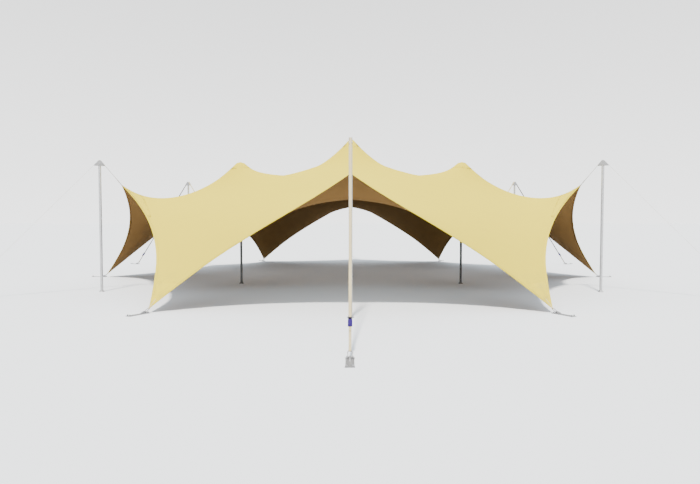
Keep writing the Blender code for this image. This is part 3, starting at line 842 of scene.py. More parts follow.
def painted_material(name, tone):
    """Satin paint that is rubbed through to bare steel in small spots."""
    mat, tree, shader = new_material(name, Specular_IOR_Level=0.12)
    spot = add(tree, "TexCoord").outputs["Object"]
    base = handled_tone(tree, spot, tone, 0.22, 25.0)
    bare = ramp(tree, noise(tree, spot, 160.0, 6.0, 0.7), 0.66, 0.70)
    worn = mix_colour(tree, bare, base, BARE_STEEL)
    handled = handled_metal(tree, spot, 0.5, 60.0)
    orange_peel = noise(tree, spot, 900.0)
    plug(tree, shader, {"Base Color": worn, "Metallic": bare,
                        "Roughness": handled.outputs["Roughness"],
                        "Normal": bumped(tree, orange_peel, 0.08, 0.0004)})
    return mat


pale_tube = tube_material("pole_tube", (0.50, 0.50, 0.505, 1.0), 0.42)
# The inner poles' dark tube tone is painted shade for poles standing under the roof.
painted_shade_tube = tube_material("inner_pole_tube", (0.105, 0.108, 0.108, 1.0), 0.5)
cast_metal = tube_material("cast_head", (0.34, 0.34, 0.345, 1.0), 0.45)
galvanised = galvanised_material("galvanised", (0.37, 0.37, 0.375, 1.0))
ratchet_paint = painted_material("ratchet_paint", (0.034, 0.014, 0.150, 1.0))
metals = (pale_tube, painted_shade_tube, cast_metal, galvanised, ratchet_paint)
print("metals:", [mat.name for mat in metals])

# %% [markdown]
# ## Shapes for the metalwork
# Nearly all the metal of a ratchet or a pole's head is flat plate and round bar. A plate
# is an outline filled with one face and extruded to its thickness. A bar is a cylinder
# that lies across the guy. Real edges are never knife sharp, so every piece ends with a
# small bevel on its sharp edges, which catches the light.

# %% Plates, bars and softened edges
ACROSS = Matrix.Rotation(math.radians(90.0), 4, "X")


def sided(side, near, far):
    """Two distances from the middle plane, on one side of it, as low and high."""
    return sorted((side * near, side * far))


def extrude_across(work, faces, low, high):
    """Extrudes faces along Y by the distance from low to high."""
    grown = bmesh.ops.extrude_face_region(work, geom=faces)["geom"]
    moved = [part for part in grown if isinstance(part, bmesh.types.BMVert)]
    bmesh.ops.translate(work, vec=(0.0, high - low, 0.0), verts=moved)


def add_plate(work, outline, low, high):
    """Fills an outline of local X and Z and extrudes it along Y, from low to high."""
    rim = [work.verts.new((x, low, z)) for x, z in outline]
    extrude_across(work, bmesh.ops.contextual_create(work, geom=rim)["faces"], low, high)


def add_bar(work, centre, radius, low, high, sides=24):
    """A round bar along Y from low to high, with its middle at an X and Z."""
    middle = Matrix.Translation((centre[0], (low + high) / 2.0, centre[1]))
    bmesh.ops.create_cone(work, cap_ends=True, segments=sides, radius1=radius, radius2=radius,
                          depth=high - low, matrix=middle @ ACROSS)


def soften(work, width, segments=2, sharper_than=35.0):
    """Bevels every edge that is sharper than an angle."""
    bmesh.ops.recalc_face_normals(work, faces=work.faces)
    sharp = [edge for edge in work.edges
             if edge.is_manifold and edge.calc_face_angle() > math.radians(sharper_than)]
    bmesh.ops.bevel(work, geom=sharp, offset=width, segments=segments, profile=0.5,
                    affect="EDGES", material=-1, clamp_overlap=True)


def round_end(centre, radius, start, end, steps):
    """Points on a rounded end of a plate's outline, angles in degrees."""
    return [tuple(on_arc(centre, radius, math.radians(start + (end - start) * step / steps)))
            for step in range(steps + 1)]


# %% [markdown]
# ## Perimeter and interior poles
# A pole is a tube with a welded foot plate, and the foot has a collar, a weld bead and
# four bolts. One profile spun a full turn about the pole's axis makes a shape that is
# exactly round, which a cylinder with parts stuck on wouldn't give so simply. The king
# pole and the three interior poles end in a broad knob that the cloth rests on without
# tearing. Their tube gets a far darker tone than the outer poles, which is painted shade:
# the shade they stand in under the roof.

# %% Turned shapes, feet and bolts
TUBE_RADIUS = 0.030
FOOT_RADIUS = 0.062
FOOT_PLATE = 0.008
COLLAR_RADIUS = 0.037
COLLAR_HEIGHT = 0.040
FOOT_BOLT_CIRCLE = 0.051
FOOT_BOLT_HEIGHT = 0.0042
KNOB_BELOW_CLOTH = 0.004
KING_KNOB = CROWN_RADIUS * 0.94
INNER_KNOB = KNOB_RADIUS * 0.72
TURN_STEPS = 48


def spun(work, profile, matrix):
    """Spins a profile of radius and height a full turn about local Z."""
    known = set(work.verts)
    points = [work.verts.new((x, 0.0, z)) for x, z in profile]
    for first, second in zip(points, points[1:]):
        bmesh.ops.contextual_create(work, geom=[first, second])
    edges = [edge for edge in work.edges if edge.verts[0] in points and edge.verts[1] in points]
    bmesh.ops.spin(work, geom=points + edges, cent=(0.0, 0.0, 0.0), axis=(0.0, 0.0, 1.0),
                   angle=2.0 * math.pi, steps=TURN_STEPS, use_merge=True)
    made = [vert for vert in work.verts if vert not in known]
    bmesh.ops.remove_doubles(work, verts=made, dist=0.00002)
    made = [vert for vert in work.verts if vert not in known]
    bmesh.ops.transform(work, matrix=matrix, verts=made)


def foot_profile():
    """The tube's lower end, weld bead, collar and plate, down to the floor."""
    return [(COLLAR_RADIUS - 0.0012, COLLAR_HEIGHT), (COLLAR_RADIUS, COLLAR_HEIGHT - 0.0012),
            (COLLAR_RADIUS, FOOT_PLATE + 0.007), (COLLAR_RADIUS + 0.0015, FOOT_PLATE + 0.004),
            (COLLAR_RADIUS + 0.004, FOOT_PLATE + 0.0015), (COLLAR_RADIUS + 0.007, FOOT_PLATE),
            (FOOT_RADIUS - 0.0015, FOOT_PLATE), (FOOT_RADIUS, FOOT_PLATE - 0.0015),
            (FOOT_RADIUS, 0.0), (0.0, 0.0)]


def add_foot_bolts(work, matrix):
    """Four hexagon bolt heads on the foot plate."""
    bolt = Vector((FOOT_BOLT_CIRCLE, 0.0, FOOT_PLATE + FOOT_BOLT_HEIGHT / 2.0))
    for turn in range(4):
        spot = Matrix.Rotation(math.radians(45.0 + 90.0 * turn), 4, "Z") @ bolt
        bmesh.ops.create_cone(work, cap_ends=True, segments=6, radius1=0.0065, radius2=0.0060,
                              depth=FOOT_BOLT_HEIGHT, matrix=matrix @ Matrix.Translation(spot))


def make_pole(name, top_profile, step, radius, mat):
    """A pole from its top down to the floor, with its foot and bolts."""
    work = bmesh.new()
    place = Matrix.Translation(on_spoke(radius, step, 0.0))
    weld = [(TUBE_RADIUS, COLLAR_HEIGHT + 0.0015), (TUBE_RADIUS + 0.001, COLLAR_HEIGHT)]
    spun(work, top_profile + weld + foot_profile(), place)
    add_foot_bolts(work, place)
    bmesh.ops.recalc_face_normals(work, faces=work.faces)
    pole = make_piece(name, work, [mat], crease=30.0)
    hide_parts(name.replace("_dressed", ""))


# %% Perimeter poles
pole_top = HEAD_TOP - HEAD_HEIGHT - SEAT_GAP
plain_top = [(0.0, pole_top), (TUBE_RADIUS - 0.001, pole_top), (TUBE_RADIUS, pole_top - 0.001)]
for number in range(1, SPOKES + 1):
    make_pole(f"perimeter_pole_{number}_dressed", plain_top, number - 1, POLE_CIRCLE, pale_tube)
print("six outer poles", round(pole_top, 3), "m")


# %% King pole and interior poles
def knob_top(cloth_top, rim, fall):
    """The knob that the cloth rests on, from its middle down to the tube."""
    top = cloth_top - KNOB_BELOW_CLOTH - SEAT_GAP
    shoulder = top - fall * rim
    return [(0.0, top), (rim * 0.35, top - fall * rim * 0.35), (rim * 0.7, top - fall * rim * 0.72),
            (rim * 0.9, shoulder - 0.004), (rim * 0.98, shoulder - 0.011), (rim, shoulder - 0.018),
            (rim * 0.98, shoulder - 0.026), (rim * 0.9, shoulder - 0.034),
            (COLLAR_RADIUS + 0.003, shoulder - 0.040), (COLLAR_RADIUS, shoulder - 0.044),
            (COLLAR_RADIUS, shoulder - 0.108), (COLLAR_RADIUS - 0.002, shoulder - 0.110),
            (TUBE_RADIUS, shoulder - 0.111)]


make_pole("king_pole_dressed", knob_top(KING_HEIGHT, KING_KNOB, 0.0), 0, 0.0, painted_shade_tube)
knob_fall = KNOB_DROP / KNOB_RADIUS / math.cos(math.radians(45.0))
inner_top = knob_top(INNER_TOP[1], INNER_KNOB, knob_fall)
for number, step in enumerate(INNER_SPOKES, start=1):
    make_pole(f"interior_pole_{number}_dressed", inner_top, step, INNER_TOP[0], painted_shade_tube)
print("king pole and", len(INNER_SPOKES), "interior poles")

# %% [markdown]
# ## Pole heads
# The head is a cast saddle: two flanks slope down under the strap from a round nose, and
# a cheek on each side stands a little proud so the strap can't slide off. It is built as
# three plates side by side, a wide low one for the body and two thin high ones for the
# cheeks, with a cross bolt through them.

# %% Pole heads
HEAD_HALF = 0.030
HEAD_LIP = 0.016
HEAD_REACH = 0.125
CHEEK_START = 0.0235
CHEEK_GAP = 0.0002
CHEEK_PROUD = 0.007
CROSS_BOLT_DROP = 0.082
CROSS_BOLT_RADIUS = 0.009
CROSS_BOLT_HEAD = 0.005
NOSE_STEPS = 16


def over_nose(radius, steps):
    """Points round the nose, from the outer touching point to the inner one."""
    return [on_arc(NOSE_CENTRE, radius, outer_touch + (inner_touch - outer_touch) * part / steps)
            for part in range(steps + 1)]


def head_outline(proud):
    """The saddle seen from the side, as X outwards and Z up, grown by proud."""
    base = HEAD_TOP - HEAD_HEIGHT
    lip = base + HEAD_LIP + proud * 0.5
    nose = over_nose(HEAD_NOSE + proud, NOSE_STEPS)
    outer_end = nose[0].x + (lip - nose[0].y) / math.tan(outer_touch - math.pi / 2.0)
    inner_end = nose[-1].x + (lip - nose[-1].y) / math.tan(inner_touch + math.pi / 2.0)
    outer_end = min(outer_end, POLE_CIRCLE + HEAD_REACH)
    return [(inner_end, base), (outer_end, base), (outer_end, lip),
            *map(tuple, nose), (inner_end, lip)]


def make_head(number, step):
    """The saddle's body between its two cheeks, with a cross bolt's ends."""
    work = bmesh.new()
    add_plate(work, head_outline(0.0), -CHEEK_START, CHEEK_START)
    for side in (-1.0, 1.0):
        add_plate(work, head_outline(CHEEK_PROUD), *sided(side, CHEEK_START + CHEEK_GAP, HEAD_HALF))
        add_bar(work, (POLE_CIRCLE, HEAD_TOP - CROSS_BOLT_DROP), CROSS_BOLT_RADIUS,
                *sided(side, HEAD_HALF, HEAD_HALF + CROSS_BOLT_HEAD), sides=6)
    soften(work, 0.0012)
    bmesh.ops.rotate(work, verts=work.verts, cent=(0.0, 0.0, 0.0),
                     matrix=Matrix.Rotation(spoke_angle(step), 3, "Z"))
    head = make_piece(f"pole_head_{number}_dressed", work, [cast_metal],
                      crease=35.0)
    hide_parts(f"pole_head_{number}")


for number in range(1, SPOKES + 1):
    make_head(number, number - 1)
print("heads reach", round(HEAD_TOP + CHEEK_PROUD, 3), "m")

# %% [markdown]
# ## Webbing
# The guys are flat woven polyester straps. A strap is a grid of quads moved onto its
# path, as wide as the webbing, and a Solidify modifier gives it thickness. Its UV map is
# in metres along and across, so the weave and the rows of stitches keep their real size
# round every bend. Where a strap loops round a bar it is folded back and sewn to itself,
# and an attribute called sewn marks that length for the material. The guys are pale
# outside and get a near-black tone on the back, which is painted shade, so a guy seen
# from below looks shaded. The short straps and the corner tabs are pale on both sides.

# %% Webbing material
STRAP_TONE = (0.78, 0.64, 0.36, 1.0)
# The near-black tone of the guys' back face is painted shade, for a guy seen from below.
PAINTED_SHADE_BACK_TONE = (0.045, 0.042, 0.040, 1.0)
SEWING_TONE = (0.86, 0.83, 0.74, 1.0)
WEAVE_PITCH = 0.0016
SEWN_ROW = 0.0135
SEWN_PITCH = 0.0045
SEWN_THREAD = 0.0006
ZIGZAG_WIDTH = 0.024


def webbing_material(name, tone):
    """Woven strap, with two rows and a zigzag of stitches where it is sewn."""
    mat, tree, shader = new_material(name, Roughness=0.78, Sheen_Weight=0.15,
                                     Sheen_Roughness=0.4, Specular_IOR_Level=0.3)
    spot = add(tree, "TexCoord").outputs["Object"]
    uv = add(tree, "SeparateXYZ", {0: add(tree, "UVMap", uv_map="strap").outputs[0]})
    along, across = uv.outputs["X"], uv.outputs["Y"]
    sewn = add(tree, "Attribute", attribute_name="sewn").outputs["Fac"]
    inputs = {"Along": along, "Across": across, "Pitch": WEAVE_PITCH}
    weave = use_group(tree, weave_group, inputs)
    rows = stitches(tree, along, across, SEWN_ROW, SEWN_PITCH, SEWN_THREAD)
    zigzag = calc(tree, "PINGPONG", along, ZIGZAG_WIDTH)
    zigzag = calc(tree, "SUBTRACT", zigzag, ZIGZAG_WIDTH / 2.0)
    off_line = calc(tree, "SUBTRACT", across, zigzag)
    cross = stitches(tree, along, off_line, 0.0, SEWN_PITCH, SEWN_THREAD)
    thread = times(tree, calc(tree, "MAXIMUM", rows, cross), calc(tree, "GREATER_THAN", sewn, 0.5))
    base = handled_tone(tree, spot, tone, 0.10, 5.0)
    woven = add(tree, "HueSaturation", {"Value": weave.outputs["Shade"], "Color": base}).outputs[0]
    stitched = mix_colour(tree, thread, woven, SEWING_TONE)
    height = calc(tree, "ADD", weave.outputs["Height"], times(tree, thread, 2.5))
    plug(tree, shader, {"Base Color": stitched, "Normal": bumped(tree, height, 0.6, 0.0003)})
    return mat


webbing = webbing_material("webbing", STRAP_TONE)
# The webbing for the guys' back face, whose dark tone is painted shade.
painted_shade_webbing = webbing_material("painted_shade_webbing", PAINTED_SHADE_BACK_TONE)
print("webbing finishes:", webbing.name, painted_shade_webbing.name)

# %% Straps on paths
BAND_COLUMNS = 4
FACE_INSET = 0.0004
LAP_SHARES = (1.0, 0.8, 0.5, 0.25, 0.12)
HALF_TURN_STEPS = 8


def grid_bmesh(places, across):
    """Quads through a table of places, with a UV map in metres along and across."""
    rows, columns = len(places), len(places[0])
    middle = places[rows // 2]
    run = [0.0]
    for first, second in zip(middle, middle[1:]):
        run.append(run[-1] + (Vector(second) - Vector(first)).length)
    work = bmesh.new()
    uv = work.loops.layers.uv.new("strap")
    work.verts.layers.float.new("sewn")
    bmesh.ops.create_grid(work, x_segments=columns - 1, y_segments=rows - 1, size=0.5)
    cells = {vert: (round((vert.co.y + 0.5) * (rows - 1)), round((vert.co.x + 0.5) * (columns - 1)))
             for vert in work.verts}
    for vert, (row, column) in cells.items():
        vert.co = places[row][column]
    for face in work.faces:
        for loop in face.loops:
            row, column = cells[loop.vert]
            loop[uv].uv = (run[column], across[row][column])
    return work, cells


def make_band(name, places, across, flags, back=None):
    """A band of webbing through a table of places, with a sewn flag for each of its columns."""
    work, cells = grid_bmesh(places, across)
    flag = work.verts.layers.float["sewn"]
    for vert, (row, column) in cells.items():
        vert[flag] = flags[column]
    strap = make_piece(name, work, [back or webbing, webbing], crease=60.0)
    return thicken(strap, WEB_THICKNESS - FACE_INSET, offset=0.0, inner=1, rim=1)


def beside_plane(spot, step, away):
    """A place of a spoke's plane, moved sideways out of it."""
    return on_spoke(spot.x, step, spot.y) + UP.cross(on_spoke(1.0, step, 0.0)) * away


def make_strap(name, path, flags, halves, step, back=None):
    """A flat strap on a path of a spoke's plane, with a half width for each point."""
    across = [[half * (2.0 * row / BAND_COLUMNS - 1.0) for half in halves]
              for row in range(BAND_COLUMNS + 1)]
    places = [[beside_plane(spot, step, away) for spot, away in zip(path, row)] for row in across]
    return make_band(name, places, across, flags, back)


# %% Loops round a bar
def round_bar(centre, radius, base, side):
    """Half a turn round a bar."""
    return [on_arc(centre, radius, base + side * (math.pi * part / HALF_TURN_STEPS - math.pi / 2.0))
            for part in range(HALF_TURN_STEPS + 1)]


def loop_path(centre, bar_radius, run, lap, turn_side, offset):
    """Round a bar and back: towards it along run, half round it, and back along itself.

    The strap arrives on one side of its line, goes round the bar and is laid back on the
    other side. Listed from the end of the lap to where the strap leaves on its line.
    """
    radius = bar_radius + WEB_THICKNESS / 2.0 + SEAT_GAP
    lift = Vector((-run.y, run.x)) * turn_side
    laid_back, arriving = [], []
    for share in LAP_SHARES:
        closed = min(1.0, (share - LAP_SHARES[-1]) * 4.0)
        spot = centre - run * lap * share
        laid_back.append(spot - lift * (radius + (offset - radius) * closed))
        arriving.append(spot + lift * (radius * (1.0 - closed)))
    turn = round_bar(centre, radius, math.atan2(run.y, run.x), turn_side)
    open_points = len(turn) + 2
    sewn = [1.0] * (len(LAP_SHARES) - 1)
    return laid_back + turn + arriving[::-1], sewn + [0.0] * open_points + sewn


# %% [markdown]
# ## Guy straps
# A guy strap is one piece of webbing. It starts wound on the ratchet's spool, runs up the
# guy, bends over the nose of the pole's head, and loops through the link at the canopy's
# corner, where it is sewn back on itself.

# %% Guy straps
SPOOL_PLACE = Vector((0.034, 0.012))
ROLL_RADIUS = 0.012
ROLL_TURNS = 1.6
ROLL_STEPS = 26
ROLL_PITCH = 0.0031
OFF_ROLL = 0.03
BEND_STEPS = 12
LINK_LENGTH = 0.080
LINK_BAR = 0.009
LAP = 0.15
LAP_OFFSET = 0.0032
LAP_LEAD = 0.002
LOOP_HALF = 0.0165


def on_guy(along, above):
    """A point of the spoke's plane from a place along the ratchet and above the guy."""
    return ratchet_top + guy_run * along + guy_lift * above


def guy_path():
    """The strap from its end on the spool to its sewn end at the link."""
    points = []
    for part in range(ROLL_STEPS + 1):
        back = ROLL_TURNS * 2.0 * math.pi * (1.0 - part / ROLL_STEPS)
        radius = ROLL_RADIUS - ROLL_PITCH * back / (2.0 * math.pi)
        points.append(on_guy(*on_arc(SPOOL_PLACE, radius, back - math.pi / 2.0)))
    points.append(on_guy(-OFF_ROLL, 0.0))
    points.extend(over_nose(STRAP_BEND, BEND_STEPS))
    bar = link_end + link_run * (LINK_LENGTH - LINK_BAR / 2.0)
    loop, flags = loop_path(bar, LINK_BAR / 2.0, -link_run, LAP, 1.0, LAP_OFFSET)
    loop.reverse()
    points.append(loop[0] - (loop[1] - loop[0]).normalized() * LAP_LEAD)
    return points + loop, [0.0] * len(points) + flags[::-1]


def loop_widths(flags, narrow):
    """Half width along a path: narrower where the strap goes round a bar."""
    marks = [number for number, flag in enumerate(flags) if flag > 0.5]
    gap = [number for number in range(marks[0], marks[-1]) if flags[number] < 0.5]
    return [narrow if gap[0] < number < gap[-1] else WEB_HALF for number in range(len(flags))]


path, flags = guy_path()
widths = loop_widths(flags, LOOP_HALF)
# Each guy's back face takes the dark webbing, painted shade for a guy seen from below.
for number in range(1, SPOKES + 1):
    strap = make_strap(f"guy_strap_{number}_dressed", path, flags, widths, number - 1,
                       painted_shade_webbing)
    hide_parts(f"guy_strap_{number}")
print("guy strap with", len(path), "points on its path")

# %% [markdown]
# ## Ratchets
# A ratchet for webbing has a frame of two pressed side plates joined by a base plate and
# a cross bar, and a slotted spool with a toothed wheel at each side. The handle's two
# plates swing on the spool outside those wheels. The strap winds on the spool, and a short
# fixed strap is sewn round the cross bar. The frame and spool stay with the tent, while
# the handle rides on the lever.

# %% Ratchet frame
FRAME_INNER = 0.0190
FRAME_OUTER = 0.0215
BASE_LEVELS = (-0.0100, -0.0078)
PAWL_GAP = 0.0015
BAR_PLACE = (0.130, 0.002)
CROSS_BAR = 0.0040
BAR_HEAD = 0.0065
BAR_HEAD_HEIGHT = 0.0022


def frame_side():
    """Outline of a frame's side plate, with a rounded shoulder round the spool."""
    return [(0.0, -0.004), (0.006, -0.010), (0.132, -0.010), (0.140, -0.004), (0.140, 0.006),
            (0.134, 0.011), (0.122, 0.0145), (0.080, 0.0155), (0.062, 0.018),
            *round_end((0.034, 0.004), 0.018, 55.0, 125.0, 6), (0.006, 0.017), (0.0, 0.011)]


def make_frame(number, step):
    """Two side plates with the bar's heads, a base plate, the pawl and the cross bar."""
    work = bmesh.new()
    for side in (-1.0, 1.0):
        add_plate(work, frame_side(), *sided(side, FRAME_INNER, FRAME_OUTER))
        add_bar(work, BAR_PLACE, BAR_HEAD,
                *sided(side, FRAME_OUTER, FRAME_OUTER + BAR_HEAD_HEIGHT), sides=16)
    low, high = BASE_LEVELS
    base = [(0.012, low), (0.116, low), (0.116, high), (0.012, high)]
    add_plate(work, base, -FRAME_INNER, FRAME_INNER)
    pawl = [(0.066, 0.002), (0.098, 0.004), (0.098, 0.0065), (0.069, 0.0065),
            (0.052, 0.0125), (0.050, 0.0110)]
    add_plate(work, pawl, -FRAME_INNER + PAWL_GAP, FRAME_INNER - PAWL_GAP)
    add_bar(work, BAR_PLACE, CROSS_BAR, -FRAME_INNER, FRAME_INNER)
    soften(work, 0.0006)
    bmesh.ops.transform(work, matrix=line_frame(step, ratchet_top, guy_run), verts=work.verts)
    frame_piece = make_piece(f"ratchet_{number}_frame", work, [ratchet_paint],
                             crease=30.0)
    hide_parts(f"ratchet_{number}")


for number in range(1, SPOKES + 1):
    make_frame(number, number - 1)
print(SPOKES, "ratchet frames")

# %% Spool and toothed wheels
TEETH = 11
WHEEL_RADIUS = 0.0145
TOOTH_REACH = 1.20
WHEEL_FROM = FRAME_OUTER + 0.0004
WHEEL_TO = FRAME_OUTER + 0.0030
SPOOL_HALF = 0.0186
SPOOL_SPLIT = 0.0030
SPOOL_PIN = 0.0050
PIN_FROM, PIN_TO = 0.0187, 0.0292


def add_toothed_wheel(work, low, high):
    """A disc whose every third rim point is pulled out into a tooth."""
    hub = Vector((SPOOL_PLACE.x, low, SPOOL_PLACE.y))
    disc = bmesh.ops.create_circle(work, cap_ends=True, segments=TEETH * 3, radius=WHEEL_RADIUS,
                                   matrix=Matrix.Translation(hub) @ ACROSS)["verts"]
    for vert in disc[::3]:
        vert.co = hub + (vert.co - hub) * TOOTH_REACH
    face = [face for face in work.faces if set(face.verts) == set(disc)]
    extrude_across(work, face, low, high)


def make_spool(number, step):
    """Two half-round bars with a slot between them, their pin ends and toothed wheels."""
    work = bmesh.new()
    for height in (-SPOOL_SPLIT, SPOOL_SPLIT):
        x, z = SPOOL_PLACE.x, SPOOL_PLACE.y + height
        half_round = [(x - 0.005, z - 0.0012), (x + 0.005, z - 0.0012),
                      (x + 0.004, z + 0.0012), (x - 0.004, z + 0.0012)]
        add_plate(work, half_round, -SPOOL_HALF, SPOOL_HALF)
    for side in (-1.0, 1.0):
        add_bar(work, SPOOL_PLACE, SPOOL_PIN, *sided(side, PIN_FROM, PIN_TO))
        add_toothed_wheel(work, *sided(side, WHEEL_FROM, WHEEL_TO))
    soften(work, 0.0003, segments=1)
    bmesh.ops.transform(work, matrix=line_frame(step, ratchet_top, guy_run), verts=work.verts)
    make_piece(f"ratchet_{number}_spool", work, [galvanised], crease=30.0)


for number in range(1, SPOKES + 1):
    make_spool(number, number - 1)
print("spools with", TEETH, "teeth a wheel")

# %% Ratchet handle
HANDLE_INNER = 0.0250
HANDLE_OUTER = 0.0280
GRIP_PLACE = (0.1165, 0.0)
GRIP_RADIUS = 0.0060
RIB_HALF = 0.009


def handle_side():
    """Outline of a handle's side plate about its pivot, round at that end."""
    return [*round_end((0.0, 0.0), 0.0068, 90.0, 270.0, 10), (0.040, -0.0068), (0.050, -0.0045),
            (0.100, -0.0045), (0.108, -0.0068), (0.121, -0.0068), (0.124, -0.0035), (0.124, 0.0035),
            (0.121, 0.0068), (0.034, 0.0084), (0.028, 0.0084), (0.018, 0.0068)]


def make_handle(number, step):
    """Two side plates joined by the grip and by a pressed cover with a rib."""
    work = bmesh.new()
    for side in (-1.0, 1.0):
        add_plate(work, handle_side(), *sided(side, HANDLE_INNER, HANDLE_OUTER))
    add_bar(work, GRIP_PLACE, GRIP_RADIUS, -HANDLE_INNER, HANDLE_INNER)
    cover = [(0.030, 0.0078), (0.033, 0.0060), (0.112, 0.0050), (0.112, 0.0068),
             (0.036, 0.0082), (0.032, 0.0100)]
    add_plate(work, cover, -HANDLE_INNER, HANDLE_INNER)
    rib = [(0.046, 0.0078), (0.100, 0.0069), (0.097, 0.0086), (0.049, 0.0095)]
    add_plate(work, rib, -RIB_HALF, RIB_HALF)
    soften(work, 0.0007)
    pivot = ratchet_top + guy_run * SPOOL_PLACE.x + guy_lift * SPOOL_PLACE.y
    bmesh.ops.transform(work, matrix=line_frame(step, pivot, guy_run), verts=work.verts)
    handle = make_piece(f"ratchet_handle_{number}_dressed", work, [ratchet_paint],
                        body=f"lever_{number}", crease=30.0)
    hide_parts(f"ratchet_handle_{number}")


for number in range(1, SPOKES + 1):
    make_handle(number, number - 1)
print("handles on", SPOKES, "levers")

# %% [markdown]
# ## Short straps and links
# Below each ratchet a short strap runs from the frame's cross bar to the bow of the
# shackle on the ground anchor, sewn back on itself at both ends. At the canopy's raised
# corner a welded ring joins the cloth to its guy. The ring is oblong: a small torus whose
# four quarters are moved apart, so its bar stays round in the bends.

# %% Short straps
BOW_BAR = 0.006
LUG_BACK = 0.082
LUG_HEIGHT = 0.030
SHORT_HALF = WEB_HALF - 0.003
UPPER_LAP, LOWER_LAP = 0.09, 0.11
SHORT_OFFSET = 0.0031


def bow_bar(tip):
    """The middle of a shackle bow's bar, from the tip that it pulls on and its anchor's lug."""
    return Vector(tip) - Vector((-LUG_BACK, tip[1] - LUG_HEIGHT)).normalized() * BOW_BAR


bow_centre = bow_bar(GUY_FOOT)
bar_centre = on_guy(*BAR_PLACE)


def short_strap_path():
    """From the lap at the cross bar down to the lap at the shackle's bow."""
    run = (bar_centre - bow_centre).normalized()
    upper, upper_flags = loop_path(bar_centre, CROSS_BAR, run, UPPER_LAP, 1.0, SHORT_OFFSET)
    lower, lower_flags = loop_path(bow_centre, BOW_BAR, -run, LOWER_LAP, -1.0, SHORT_OFFSET)
    return upper + lower[::-1], upper_flags + lower_flags[::-1]


path, flags = short_strap_path()
widths = [SHORT_HALF] * len(path)
for number in range(1, SPOKES + 1):
    make_strap(f"short_strap_{number}", path, flags, widths, number - 1)
print("short strap", round((bar_centre - bow_centre).length, 3), "m")

# %% Links
LINK_CORNER = 0.0095
LINK_WIDTH = 0.056
LINK_STEPS = 24


def make_link(number, step):
    """A torus round local Z whose four quarters are moved apart."""
    work = bmesh.new()
    middle = Matrix.Translation((LINK_CORNER, 0.0, 0.0))
    section = bmesh.ops.create_circle(work, segments=12, radius=LINK_BAR / 2.0 - 0.0002,
                                      matrix=middle @ ACROSS)["verts"]
    half_step = Matrix.Rotation(math.radians(180.0 / LINK_STEPS), 3, "Z")
    bmesh.ops.rotate(work, verts=section, cent=(0.0, 0.0, 0.0), matrix=half_step)
    bmesh.ops.spin(work, geom=section + work.edges[:], cent=(0.0, 0.0, 0.0), axis=UP,
                   angle=2.0 * math.pi, steps=LINK_STEPS, use_merge=True)
    apart_x = LINK_LENGTH / 2.0 - LINK_BAR / 2.0 - LINK_CORNER
    apart_y = LINK_WIDTH / 2.0 - LINK_BAR / 2.0 - LINK_CORNER
    for vert in work.verts:
        vert.co.x += math.copysign(apart_x, vert.co.x) + LINK_LENGTH / 2.0
        vert.co.y += math.copysign(apart_y, vert.co.y)
    bmesh.ops.recalc_face_normals(work, faces=work.faces)
    bmesh.ops.transform(work, matrix=line_frame(step, link_end, link_run), verts=work.verts)
    link = make_piece(f"corner_link_{number}_dressed", work, [galvanised],
                      crease=60.0)
    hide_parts(f"corner_link_{number}")


for number in range(1, SPOKES + 1):
    make_link(number, number - 1)
print("links", LINK_LENGTH, "m long and", LINK_WIDTH, "m wide")

# %% [markdown]
# ## Hem and seams
# All round its edge the cloth is folded over a tape and sewn with two rows of stitches, so
# the edge can carry the pull between the corners. The hem is a band that wraps the edge:
# four rows of points, two above the cloth and two below. The cloth's panels meet in a flat
# sewn seam on every second ridge. Both are grids laid on the sheet's own quads, so they
# follow it exactly, and their UV map is in metres for the stitches.

# %% Hem
LAID_GAP = 0.0022
FOLD_OUT = 0.0020
FOLD_HEIGHT = 0.005
LAYER = 0.0008


def net_point(ring, sector):
    """A point of the net, with the sectors counted on past a full turn."""
    return Vector(net[ring, sector % fine_sectors])


def hem_section(sector):
    """The hem's four points at a sector, from its upper inner edge to its lower inner edge."""
    spot, inner = net_point(-1, sector), net_point(-2, sector)
    along = (net_point(-1, sector + 1) - net_point(-1, sector - 1)).normalized()
    inward = (inner - spot) - along * along.dot(inner - spot)
    inward.normalize()
    up = along.cross(inward)
    up *= math.copysign(1.0, up.z)
    below = up * (CLOTH_THICKNESS + LAID_GAP)
    return [inner + up * LAID_GAP, spot - inward * FOLD_OUT + up * LAID_GAP,
            spot - inward * FOLD_OUT - below, inner - below]


places = list(zip(*[hem_section(sector) for sector in range(fine_sectors + 1)]))
half_hem = HEM_WIDTH / 2.0
edges = (-half_hem, half_hem, half_hem + FOLD_HEIGHT, -half_hem)
work, cells = grid_bmesh(places, [[edge] * (fine_sectors + 1) for edge in edges])
# The hem's under rows take the inside material, whose darker brown tone is painted shade.
for face in work.faces:
    face.material_index = int(min(cells[vert][0] for vert in face.verts) == 2)
bmesh.ops.remove_doubles(work, verts=work.verts, dist=0.00001)
bmesh.ops.recalc_face_normals(work, faces=work.faces)
hem = make_piece("canopy_hem", work, [cloth_sewn, shaded_cloth_inside], crease=60.0)
thicken(hem, LAYER, offset=0.0)
print("hem", round(HEM_WIDTH, 3), "m wide with", len(hem.data.polygons), "faces")

# %% Seams on every second ridge
SEAM_HALF = 0.022
SEAM_LAYER = 0.0010
SEAM_START = 5
SEARCH_STEPS = 24
BAND_SHARES = (-1.0, -0.5, 0.0, 0.5, 1.0)


def beside_ridge(ring, sector, away):
    """The point of a ring at a distance from a ridge, measured along the ring."""
    side = 1 if away > 0.0 else -1
    row = [net_point(ring, sector + side * step) for step in range(SEARCH_STEPS)]
    for first, second in zip(row, row[1:]):
        length = (second - first).length
        if length >= abs(away):
            return first + (second - first) * abs(away) / length
        away -= side * length
    return row[-1]


